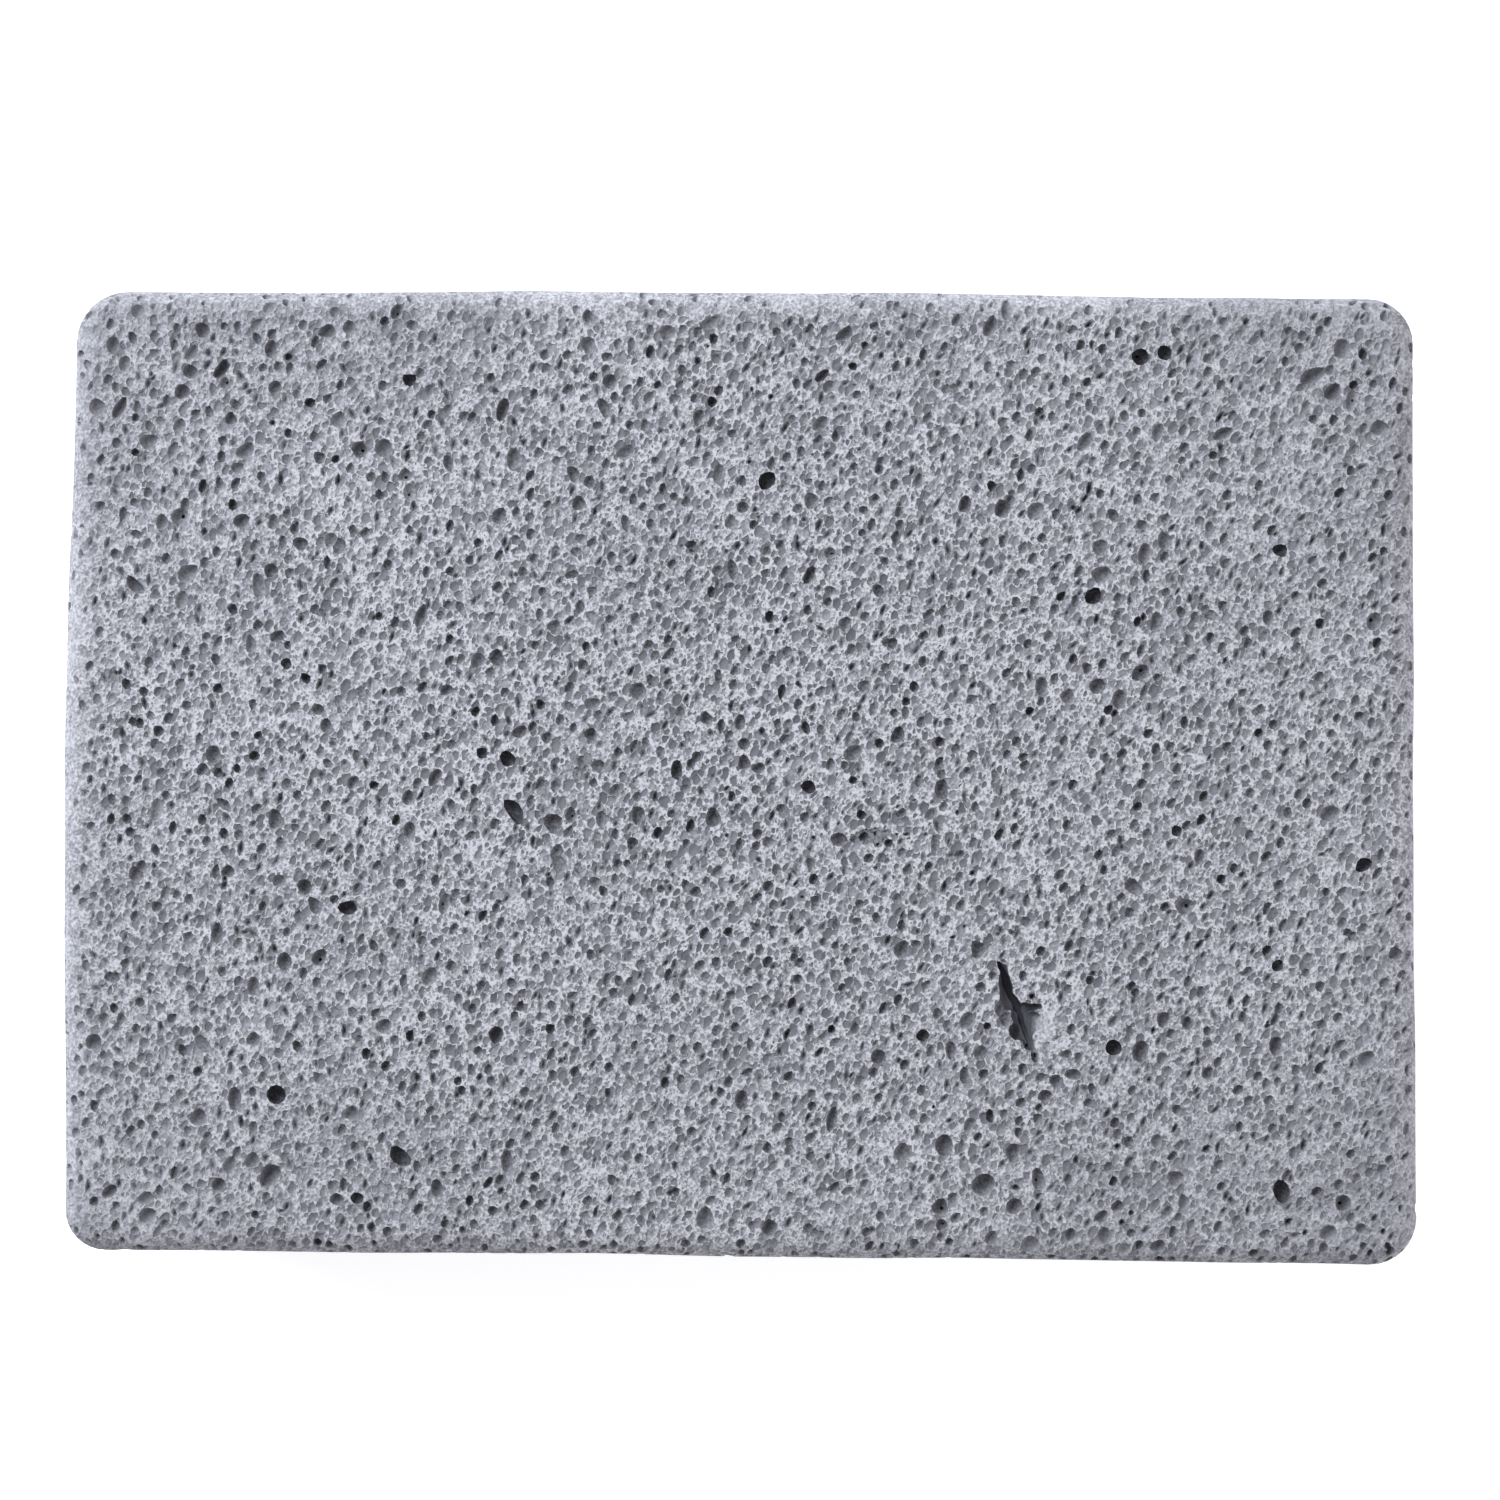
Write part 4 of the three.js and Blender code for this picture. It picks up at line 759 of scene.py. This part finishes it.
def batches_of(bubbles):
    """Batches in which no two bubbles can touch: each bubble joins the first batch whose members' mouths
    and floors all lie further off than the two half lengths together."""
    reach = CUP_REACH * bubbles[:, HALF_LONG]
    mouth = bubbles[:, SPOT]
    floor = mouth - bubbles[:, DEPTH, None] * bubbles[:, FACING]
    batch = np.full(len(bubbles), -1)
    for i in range(len(bubbles)):
        near = np.full(i, np.inf)
        for mine in (mouth[i], floor[i]):
            for theirs in (mouth[:i], floor[:i]):
                near = np.minimum(near, np.linalg.norm(theirs - mine, axis=1))
        touched = set(batch[:i][near < reach[:i] + reach[i] + CUP_GAP].tolist())
        free = [number for number in range(MOST_BATCHES) if number not in touched]
        batch[i] = free[0] if free else -1
    return [bubbles[batch == number] for number in range(MOST_BATCHES) if (batch == number).any()]


# A cup's rings for each kind of bubble: half width and depth as shares, below the ring that clears the skin
BOWL = ((0.86, 0.5), (0.5, 0.88))
SHALLOW_BOWL = ((0.78, 0.62),)
FUNNEL = ()
CAVE = ((1.08, 0.4), (0.8, 0.85))
# The half widths from which bubbles are bowls or shallow bowls, how dark a cave is, and each kind's sides
BOWL_FROM = 0.4
SHALLOW_BOWL_FROM = 0.31
CAVE_FROM = 0.7
BOWL_SIDES = 11
SHALLOW_BOWL_SIDES = 7
FUNNEL_SIDES = 6
# The lobes that sway a cup's sides: how many go round it and how strong they can be, the angle that they
# start within, and how far its floor leans
LOBES = ((2, 0.1), (3, 0.12), (4, 0.06))
LOBE_STARTS = 6.28
FLOOR_LEAN = 0.12


def cutter_arrays(bubbles, rings, sides):
    """Cups to cut bubbles with. A point of a cup lies at its ring's half width times the direction of its
    angle, swayed by the lobes, stretched along the bubble's long and short ways and sunk by the ring's
    depth. The first ring clears the skin, and a fan round a middle point closes each end."""
    count = len(bubbles)
    long_way, short_way, out = frames_of(bubbles)
    first_drop = rings[0] if rings else (0, 1)
    slope = (1 - first_drop[0]) / first_drop[1]
    depth = bubbles[:, DEPTH, None]
    widths = [1 + slope * MOUTH_HEIGHT / depth] + [np.full((count, 1), width) for width, _ in rings]
    drops = [np.full((count, 1), -MOUTH_HEIGHT)] + [share * depth for _, share in rings]
    width = np.stack(widths, axis=1)
    drop = np.stack(drops, axis=1)
    angle = np.linspace(0, 2 * np.pi, sides, endpoint=False)[None, None] + rng.uniform(0, 1, (count, 1, 1))
    one_each = (count, 1, 1)
    lobes = sum(
        rng.uniform(0, size, one_each) * np.cos(number * angle + rng.uniform(0, LOBE_STARTS, one_each))
        for number, size in LOBES
    )
    radius = width * (1 + lobes)
    x = radius * np.cos(angle) * bubbles[:, HALF_LONG, None, None]
    y = radius * np.sin(angle) * bubbles[:, HALF_SHORT, None, None]
    round_points = (
        bubbles[:, None, None, SPOT]
        + x[..., None] * long_way[:, None, None]
        + y[..., None] * short_way[:, None, None]
        - drop[..., None] * out[:, None, None]
    ).reshape(count, -1, 3)
    lean = rng.normal(0, FLOOR_LEAN, (count, 2)) * bubbles[:, HALF_SHORT, None]
    floor = bubbles[:, SPOT] + lean[:, :1] * long_way + lean[:, 1:] * short_way - depth * out
    cover = bubbles[:, SPOT] + MOUTH_HEIGHT * out
    vertices = np.concatenate([round_points, cover[:, None], floor[:, None]], axis=1)
    turn = np.arange(sides)
    ahead = (turn + 1) % sides
    level = sides * np.arange(len(rings))[:, None]
    below = level + sides
    walls = np.stack([level + turn, below + turn, below + ahead, level + ahead], axis=-1).reshape(-1, 4)
    last = sides * len(rings)
    middle = last + sides
    fans = np.concatenate([
        np.stack([np.full(sides, middle), turn, ahead], axis=1),
        np.stack([np.full(sides, middle + 1), last + ahead, last + turn], axis=1),
    ])
    starts = (np.arange(count) * (middle + 2))[:, None, None]
    all_walls = (walls + starts).reshape(-1, 4)
    all_fans = (fans + starts).reshape(-1, 3)
    tones_and_painted_shade = np.concatenate([np.repeat(bubbles[:, DARK], len(part)) for part in (walls, fans)])
    return vertices.reshape(-1, 3), [all_walls, all_fans], tones_and_painted_shade


def mark_tones_and_painted_shade(mesh, tones_and_painted_shade):
    """Writes each face's tone, partly painted shade: below 0 on the sawn skin, in a hollow from 0, pale, to 1
    or more, black.
    """
    layer = mesh.attributes.new("tone_and_painted_shade", "FLOAT", "FACE")
    layer.data.foreach_set("value", np.asarray(tones_and_painted_shade, dtype=np.float32))


def cutter(name, groups):
    """One cutter object from several groups of cups, each group with its own rings and number of sides."""
    vertices, faces, tones_and_painted_shade = [], [], []
    start = 0
    for bubbles, rings, sides in groups:
        if len(bubbles):
            points, parts, tone_and_painted_shade = cutter_arrays(bubbles, rings, sides)
            vertices.append(points)
            faces.extend(part + start for part in parts)
            tones_and_painted_shade.append(tone_and_painted_shade)
            start += len(points)
    mesh = new_mesh(name, np.concatenate(vertices), faces)
    mark_tones_and_painted_shade(mesh, np.concatenate(tones_and_painted_shade))
    return new_object(name, mesh)


# How deep a torn hollow is at its line's ends, as a share of its greatest depth
TORN_ENDS = 0.35


def torn_cutter(name, depth, tone_and_painted_shade, levels, line, mouth):
    """A torn hollow: its jagged mouth carried straight up out of the skin, and sunk to levels whose points
    are drawn in straight towards its line. It is deepest half way along the line."""
    mouth = np.array(mouth)
    start, end = np.array(line)
    share = (mouth - start) @ (end - start) / ((end - start) @ (end - start))
    middle = start + share[:, None] * (end - start)
    deepest = depth * (TORN_ENDS + (1 - TORN_ENDS) * np.sin(np.pi * np.clip(share, 0, 1)))
    count = len(mouth)
    x, y, _ = on_worked_face(*mouth.T)
    rings = [np.column_stack([x, y, np.full(count, THICKNESS + MOUTH_HEIGHT)])]
    for down, width in levels:
        x, y, _ = on_worked_face(*(middle + width * (mouth - middle)).T)
        rings.append(np.column_stack([x, y, THICKNESS - down * deepest]))
    walls = grid_faces(len(rings), count, closed=True)
    top = np.arange(count)[None]
    bottom = top[:, ::-1] + count * len(levels)
    mesh = new_mesh(name, np.concatenate(rings), [walls, top, bottom])
    mark_tones_and_painted_shade(mesh, np.full(len(mesh.polygons), tone_and_painted_shade))
    shaped = bmesh.new()
    shaped.from_mesh(mesh)
    bmesh.ops.triangulate(shaped, faces=shaped.faces)
    bmesh.ops.recalc_face_normals(shaped, faces=shaped.faces)
    shaped.to_mesh(mesh)
    shaped.free()
    return new_object(name, mesh)


def carve(mesh, cutters):
    """The mesh less every cutter in turn, in triangles."""
    block = new_object("block", mesh)
    for tool in cutters:
        cut = block.modifiers.new(tool.name, "BOOLEAN")
        cut.operation = "DIFFERENCE"
        cut.solver = "MANIFOLD"
        cut.object = tool
    carved = bpy.data.meshes.new_from_object(block.evaluated_get(bpy.context.evaluated_depsgraph_get()))
    shaped = bmesh.new()
    shaped.from_mesh(carved)
    bmesh.ops.triangulate(shaped, faces=shaped.faces)
    shaped.to_mesh(carved)
    shaped.free()
    for used in [block, *cutters]:
        spent = used.data
        bpy.data.objects.remove(used)
        bpy.data.meshes.remove(spent)
    return carved


def write_points(mesh, name, values):
    """Writes a number for each point, which the finish reads by its name."""
    layer = mesh.attributes.new(name, "FLOAT", "POINT")
    layer.data.foreach_set("value", values.astype(np.float32))


def depth_below_skin(points):
    """How far each point lies under the uncut skin. In from the outline it is the least distance to a
    straight side, or to a worn corner's round; in from the two faces it is the height to the nearer one;
    and within a rim the two join as the rim's own round."""
    flat = points[:, :2]
    to_sides = ((corners - flat[:, None]) * outward).sum(axis=2)
    inward = to_sides.min(axis=1)
    for corner, radius in enumerate(CORNER_RADII):
        away = flat - arc_middles[corner]
        beyond = (to_sides[:, corner] < radius) & (to_sides[:, corner - 1] < radius)
        inward = np.where(beyond, radius - np.linalg.norm(away, axis=1), inward)
    under = np.minimum(points[:, 2], THICKNESS - points[:, 2])
    in_rim = (inward < RIM_RADIUS) & (under < RIM_RADIUS)
    rounded = RIM_RADIUS - np.hypot(RIM_RADIUS - inward, RIM_RADIUS - under)
    return np.where(in_rim, rounded, np.minimum(inward, under))


# Two faces that meet at more than this angle, in degrees, have a sharp edge between them
SHARP_ANGLE = 38


def stone_mesh():
    """The block less its hollows, with each face's tone, partly painted shade, and each point's depth and
    powder, which partly paints light.
    """
    block = bare_block()
    mark_tones_and_painted_shade(block, np.full(len(block.polygons), -1.0))
    bubbles = worked_face_bubbles()
    set_by_hand = len(bubbles)
    for name in SIZES:
        for on_top, throws, most in ((True, TOP_THROWS, TOP_KEPT), (False, OTHER_THROWS, OTHER_KEPT)):
            if most[name]:
                bubbles = settle(thrown_bubbles(block, name, throws[name], on_top), bubbles, most[name])
    twins = twins_of(bubbles[set_by_hand:], TWIN_SHARE)
    holes = inner_holes_of(bubbles, HOLE_SHARE)
    cutters = [torn_cutter(**hollow) for hollow in TORN]
    for number, batch in enumerate(batches_of(np.concatenate([bubbles, twins, holes]))):
        size = batch[:, HALF_SHORT]
        black = batch[:, DARK] > CAVE_FROM
        wide = size >= BOWL_FROM
        narrow = size < SHALLOW_BOWL_FROM
        cutters.append(cutter(f"batch_{number}", [
            (batch[wide & ~black], BOWL, BOWL_SIDES),
            (batch[wide & black], CAVE, BOWL_SIDES),
            (batch[~narrow & ~wide], SHALLOW_BOWL, SHALLOW_BOWL_SIDES),
            (batch[narrow], FUNNEL, FUNNEL_SIDES),
        ]))
    carved = carve(block, cutters)
    places = values_of(carved.vertices, "co", 3)
    write_points(carved, "depth", np.maximum(depth_below_skin(places), 0))
    write_points(carved, "powder_and_light", powder_and_light_at(places))
    carved.vertices.foreach_set("co", (places * MM).ravel())
    carved.shade_smooth()
    carved.set_sharp_from_angle(angle=math.radians(SHARP_ANGLE))
    carved.update()
    return carved


class Number:
    """A socket that carries one number; arithmetic on it adds the Math nodes that work it out."""

    def __init__(self, finish, socket):
        self.finish = finish
        self.socket = socket

    def maths(self, operation, *numbers, clamp=False):
        settings = {"operation": operation, "use_clamp": clamp}
        node = self.finish.node("ShaderNodeMath", settings, dict(enumerate(numbers)))
        return Number(self.finish, node.outputs[0])

    def __add__(self, other):
        return self.maths("ADD", self, other)

    def __radd__(self, other):
        return self.maths("ADD", other, self)

    def __sub__(self, other):
        return self.maths("SUBTRACT", self, other)

    def __rsub__(self, other):
        return self.maths("SUBTRACT", other, self)

    def __mul__(self, other):
        return self.maths("MULTIPLY", self, other)

    def __rmul__(self, other):
        return self.maths("MULTIPLY", other, self)

    def __truediv__(self, other):
        return self.maths("DIVIDE", self, other)

    def __rtruediv__(self, other):
        return self.maths("DIVIDE", other, self)

    def __gt__(self, other):
        return self.maths("GREATER_THAN", self, other)

    def __abs__(self):
        return self.maths("ABSOLUTE", self)

    def clamped(self):
        return self.maths("ADD", self, 0, clamp=True)


class Finish:
    """One material and the nodes that make it."""

    def __init__(self, name):
        self.material = bpy.data.materials.new(name)
        self.material.use_nodes = True
        self.nodes = self.material.node_tree.nodes
        self.links = self.material.node_tree.links
        self.nodes.clear()

    def node(self, kind, settings=None, inputs=None):
        """Adds a node, sets it up, then gives each named or numbered socket its value or link."""
        made = self.nodes.new(kind)
        for name, value in (settings or {}).items():
            setattr(made, name, value)
        for name, value in (inputs or {}).items():
            socket = made.inputs[name]
            if isinstance(value, Number):
                self.links.new(value.socket, socket)
            elif isinstance(value, bpy.types.NodeSocket):
                self.links.new(value, socket)
            else:
                socket.default_value = value
        return made

    def number(self, socket):
        return Number(self, socket)

    def attribute(self, name):
        """A number that the mesh carries."""
        return self.number(self.node("ShaderNodeAttribute", {"attribute_name": name}).outputs["Fac"])

    def parts_of(self, place):
        """The x, y and z of a place."""
        return [self.number(part) for part in self.node("ShaderNodeSeparateXYZ", None, {0: place}).outputs]

    def mix(self, share, first, second):
        """A colour between two others, by a share from 0 to 1."""
        settings = {"data_type": "RGBA", "clamp_factor": True}
        return self.node("ShaderNodeMix", settings, {0: share, 6: first, 7: second}).outputs[2]

    def vector(self, operation, first, second):
        return self.node("ShaderNodeVectorMath", {"operation": operation}, {0: first, 1: second}).outputs[0]

    def noise(self, place, scale, detail):
        return self.node("ShaderNodeTexNoise", None, {"Vector": place, "Scale": scale, "Detail": detail})

    def surface(self, inputs):
        """Closes the material with a principled surface."""
        shader = self.node("ShaderNodeBsdfPrincipled", None, inputs)
        self.node("ShaderNodeOutputMaterial", None, {"Surface": shader.outputs[0]})
        return self.material


def colour(red, green, blue):
    """A colour given as 0 to 255 on screen, as the light values that a shader takes."""
    shares = np.array([red, green, blue]) / 255
    light = np.where(shares <= 0.04045, shares / 12.92, ((shares + 0.055) / 1.055) ** 2.4)
    return (*light.tolist(), 1)


# The finish of the stone
POWDER = colour(170, 170, 178)
POWDER_SHADE = colour(117, 117, 125)
# The bare colour of a bubble's wall, and the painted shade that it darkens to
WALL_PALE = colour(138, 138, 146)
WALL_PAINTED_SHADE = colour(69, 69, 76)
# The depth in mm at which a wall's painted shade is as dark as it gets
WALL_DARKENS = 0.25
# The colours of the fine bubbles, pale and dark: painted shade, as they are hollow only in the colour and the
# bump
PAINTED_FINE_SHADE_PALE = colour(118, 118, 126)
PAINTED_FINE_SHADE_DARK = colour(77, 77, 85)
# Fine bubbles that only the finish shows, as painted shade in the colour and as bump, small ones first: how
# far apart they lie, their smallest and largest half width, all in mm, the share of places that stay empty,
# the share that shows in the walls of larger bubbles, and how strongly their painted shade shows
FINE_BUBBLES = (
    (0.26, 0.05, 0.11, 0.2, 0.7, 0.6),
    (0.38, 0.08, 0.17, 0.2, 0.4, 0.7),
    (0.58, 0.15, 0.28, 0.2, 0.1, 0.9),
    (0.86, 0.24, 0.4, 0.6, 0, 1),
)
# The web between them in mm, how much longer than wide they are, which way in degrees, and their depth over
# their half width
FINE_WEB = 0.035
FINE_STRETCH = 1.45
FINE_TURN = 70
FINE_DEPTH = 0.42
# How steeply they begin, how strong the strongest painted shade is and how much of that chance takes, and how
# far the powder, nearness to the corners and the walls of larger bubbles hide them
FINE_EDGE = 5
FINE_MOST = 1.6
FINE_FADE = 1.2
FINE_LOST_IN_POWDER = 0.75
FINE_LOST_TOWARD_CORNERS = 0.35
FINE_IN_WALLS = 0.5
# How far a place is moved aside for them, in mm, how many waves to the metre each chance pattern has, and how
# high the grain stands in mm
SWAY = 0.3
SWAY_NOISE = 2200
GRAIN_NOISE = 4500
CRUSHED_NOISE = 900
SLOW_NOISE = 60
GRAIN_HEIGHT = 0.01
# How dark the web is: everywhere, more towards the corners, by its grain and what nearness to the corners
# takes of that, by the crushed powder, by the slow changes, and less where powder, which partly paints light,
# lies
WEB_SHADE = 0.28
CORNER_DARKENING = 0.5
GRAIN_SHADE = 4.8
GRAIN_LOST_TOWARD_CORNERS = 3.4
CRUSHED_SHADE = 0.8
SLOW_SHADE = 0.8
POWDER_AND_LIGHT_LIGHTENS = 0.1
# How dark a wall is, partly its own tone and partly painted shade that deepens below the skin: the share that
# the palest has, the share of it at its mouth, what nearness to the corners and the powder take of it, and
# what the grain and the crushed powder add
WALL_LEAST = 0.25
WALL_MOUTH = 0.45
WALL_LOST_TOWARD_CORNERS = 0.12
WALL_LOST_IN_POWDER = 0.7
WALL_GRAIN = 0.4
WALL_CRUSHED = 0.5
# A large face's pattern reaches this share of the rim's radius down the rim
FACE_REACH = 0.3


def skin_place(finish, place):
    """The place laid flat on the face it belongs to: x and y on the two large faces, and on the sides the
    height against x or y. Where two faces meet, a place belongs to the nearer one."""
    x, y, z = finish.parts_of(place)
    rim = FACE_REACH * RIM_RADIUS * MM
    on_side = (z > rim) * (1 - (z > THICKNESS * MM - rim))
    on_end = abs(x) - LENGTH / 2 * MM > abs(y) - WIDTH / 2 * MM
    across = x + on_side * on_end * (y - x)
    up = y + on_side * (z - y)
    return finish.node("ShaderNodeCombineXYZ", None, {0: across, 1: up, 2: 0.0}).outputs[0]


def fine_bubbles(finish, place, apart, smallest, largest, empty, seed):
    """A layer of fine open bubbles, one to a cell and parted by a thin web, as the mask that lays on their
    painted
    shade and their bump: it rises from 0 at a bubble's edge to 1 in its middle. It also gives the bubble's
    half width in mm and a chance number."""
    offset = finish.vector("ADD", place, (0.37 * seed, 0.53 * seed, 0))
    inputs = {"Vector": offset, "Scale": 1 / (apart * MM), "Randomness": 0.9}
    cells, edges = (
        finish.node("ShaderNodeTexVoronoi", {"feature": feature, "voronoi_dimensions": "2D"}, inputs).outputs
        for feature in ("F1", "DISTANCE_TO_EDGE")
    )
    parts = finish.node("ShaderNodeSeparateColor", None, {0: cells["Color"]})
    there = finish.number(parts.outputs[2]) > empty
    size = smallest + (largest - smallest) * finish.number(parts.outputs[0])
    parted = (finish.number(edges["Distance"]) * (apart / FINE_WEB) - 1).clamped()
    sunk = (1 - finish.number(cells["Distance"]) * apart / size).clamped() * there * parted
    return sunk, size, finish.number(parts.outputs[1])


def stone_finish():
    """Powdery foamed stone: a pale crushed web between the bubbles, smooth darker walls in them, partly their
    own tone and partly painted shade that deepens below the skin, fine bubbles in the web down to the size of
    the grain, painted darker as shade, and slow changes of shade over the block. It grows softer, and its web
    darker, more and more from the middle, 0, to the corners, 1: half the sum of the squared shares of the
    half length and width."""
    finish = Finish("foamed_stone")
    place = finish.node("ShaderNodeTexCoord").outputs["Object"]
    tone_and_painted_shade, depth, powder_and_light = (finish.attribute(name) for name in ("tone_and_painted_shade", "depth", "powder_and_light"))
    wall = tone_and_painted_shade > -0.5
    x, y, _ = finish.parts_of(place)
    # How near a place is to the corners, from 0 in the middle to 1 at the corners; the web grows darker and
    # softer there
    toward_corners = 0.5 * (x * x / (LENGTH / 2 * MM) ** 2 + y * y / (WIDTH / 2 * MM) ** 2)
    sway = finish.vector("SUBTRACT", finish.noise(place, SWAY_NOISE, 1).outputs["Color"], (0.5,) * 3)
    swayed = finish.vector("MULTIPLY", sway, (SWAY * MM,) * 3)
    drawn = finish.node(
        "ShaderNodeMapping", {"vector_type": "TEXTURE"},
        {
            "Vector": finish.vector("ADD", skin_place(finish, place), swayed),
            "Rotation": (0, 0, math.radians(FINE_TURN)),
            "Scale": (FINE_STRETCH, 1, 1),
        },
    ).outputs[0]
    grain, crushed, slow = (
        finish.number(finish.noise(place, scale, 2).outputs[0])
        for scale in (GRAIN_NOISE, CRUSHED_NOISE, SLOW_NOISE)
    )
    height = grain * (GRAIN_HEIGHT * MM)
    grained = (GRAIN_SHADE - GRAIN_LOST_TOWARD_CORNERS * toward_corners) * (0.5 - grain)
    darkness = WEB_SHADE + CORNER_DARKENING * toward_corners + grained + CRUSHED_SHADE * (0.5 - crushed)
    # Powder lightens the web a little, partly real powder and partly painted light along the lit rims
    darkness = darkness + SLOW_SHADE * (slow - 0.5) - POWDER_AND_LIGHT_LIGHTENS * powder_and_light
    web = finish.mix(darkness.clamped(), POWDER, POWDER_SHADE)
    painted_fine_shade_in_walls = 0
    for seed, (*layer, in_walls, strength) in enumerate(FINE_BUBBLES):
        sunk, size, chance = fine_bubbles(finish, drawn, *layer, seed)
        fine_share = (1 - (1 - in_walls) * wall) * (1 - FINE_LOST_IN_POWDER * powder_and_light).clamped()
        fine_share = fine_share * (1 - FINE_LOST_TOWARD_CORNERS * toward_corners)
        edge = (sunk * FINE_EDGE).clamped() * fine_share
        painted_fine_shade = edge * (strength * (FINE_MOST - FINE_FADE * chance)).clamped()
        painted_fine_shade_in_walls = painted_fine_shade_in_walls + painted_fine_shade * in_walls
        # Each fine bubble is painted darker, as shade
        web = finish.mix(painted_fine_shade, web, finish.mix(chance, PAINTED_FINE_SHADE_DARK, PAINTED_FINE_SHADE_PALE))
        bowl = sunk * (2 - sunk) * size * fine_share * (1 + toward_corners)
        height = height * (1 - edge) - bowl * (FINE_DEPTH * strength * MM)
    # Walls are painted darker with depth below the skin, as shade
    inward = WALL_MOUTH + (1 - WALL_MOUTH) * (depth / WALL_DARKENS).clamped()
    # Each face's tone darkens the wall further, partly its own tone and partly painted shade
    wall_tone_and_painted_shade = (WALL_LEAST + (1 - WALL_LEAST) * tone_and_painted_shade) * inward * (1 - WALL_LOST_TOWARD_CORNERS * toward_corners)
    wall_tone_and_painted_shade = wall_tone_and_painted_shade + WALL_GRAIN * grained + WALL_CRUSHED * (0.5 - crushed)
    inside = finish.mix(wall_tone_and_painted_shade.clamped(), WALL_PALE, WALL_PAINTED_SHADE)
    # Fine bubbles in the walls are painted darker still, as shade
    for_walls = finish.mix(painted_fine_shade_in_walls * FINE_IN_WALLS, inside, WALL_PAINTED_SHADE)
    base = finish.mix(wall * (1 - WALL_LOST_IN_POWDER * powder_and_light).clamped(), web, for_walls)
    bump = finish.node("ShaderNodeBump", None, {"Strength": 1.0, "Distance": 1.0, "Height": height})
    return finish.surface({
        "Base Color": base,
        "Roughness": 0.93,
        "Specular IOR Level": 0.25,
        "Normal": bump.outputs[0],
    })


stone = new_object("foamed_stone_block", stone_mesh())
stone.data.materials.clear()
stone.data.materials.append(stone_finish())
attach(stone, "root")
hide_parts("stone")


def lit_table(name, shade, glow):
    """A plain pale floor that glows a little, as a light table does, so that shadows stay faint."""
    finish = Finish(name)
    return finish.surface({
        "Base Color": shade,
        "Roughness": 0.9,
        "Specular IOR Level": 0.1,
        "Emission Color": shade,
        "Emission Strength": glow,
    })


# The floor, the light and the camera
FLOOR_SIZE = 3000
half = FLOOR_SIZE * MM / 2
floor = new_object("floor", new_mesh(
    "floor",
    np.array([(-half, -half, 0), (half, -half, 0), (half, half, 0), (-half, half, 0)]),
    [np.array([(0, 1, 2, 3)])],
))
floor.data.materials.append(lit_table("plain_floor", shade=colour(243, 243, 244), glow=0.52))


def soft_light(name, place, size, power, tint):
    """A square soft light, facing the middle of the block."""
    light = bpy.data.lights.new(name, "AREA")
    light.shape = "SQUARE"
    light.size = size * MM
    light.energy = power
    light.color = tint
    made = new_object(name, light)
    made.location = [value * MM for value in place]
    away = made.location.copy()
    away.z -= THICKNESS / 2 * MM
    made.rotation_mode = "QUATERNION"
    made.rotation_quaternion = away.to_track_quat("Z", "Y")
    return made


soft_light("window_light", place=(-330, 330, 360), size=440, power=6.5, tint=(0.935, 0.985, 1.0))
soft_light("fill_light", place=(600, -150, 300), size=500, power=3, tint=(1.0, 0.985, 0.965))

world = bpy.data.worlds.new("room")
world.use_nodes = True
room = world.node_tree.nodes["Background"].inputs
room["Color"].default_value = (1, 0.99, 1, 1)
room["Strength"].default_value = 0.5
bpy.context.scene.world = world
bpy.context.scene.view_settings.view_transform = "Standard"

camera = new_object("camera", bpy.data.cameras.new("camera"))
frame_width = PHOTO_PIXELS / PIXELS_PER_MM
camera.data.sensor_width = SENSOR
camera.data.lens = SENSOR * (CAMERA_HEIGHT + RIM_RADIUS) / frame_width
camera.location = (
    (PHOTO_PIXELS / 2 - MIDDLE_PIXEL[0]) / PIXELS_PER_MM * MM,
    (MIDDLE_PIXEL[1] - PHOTO_PIXELS / 2) / PIXELS_PER_MM * MM,
    (THICKNESS + CAMERA_HEIGHT) * MM,
)
bpy.context.scene.camera = camera
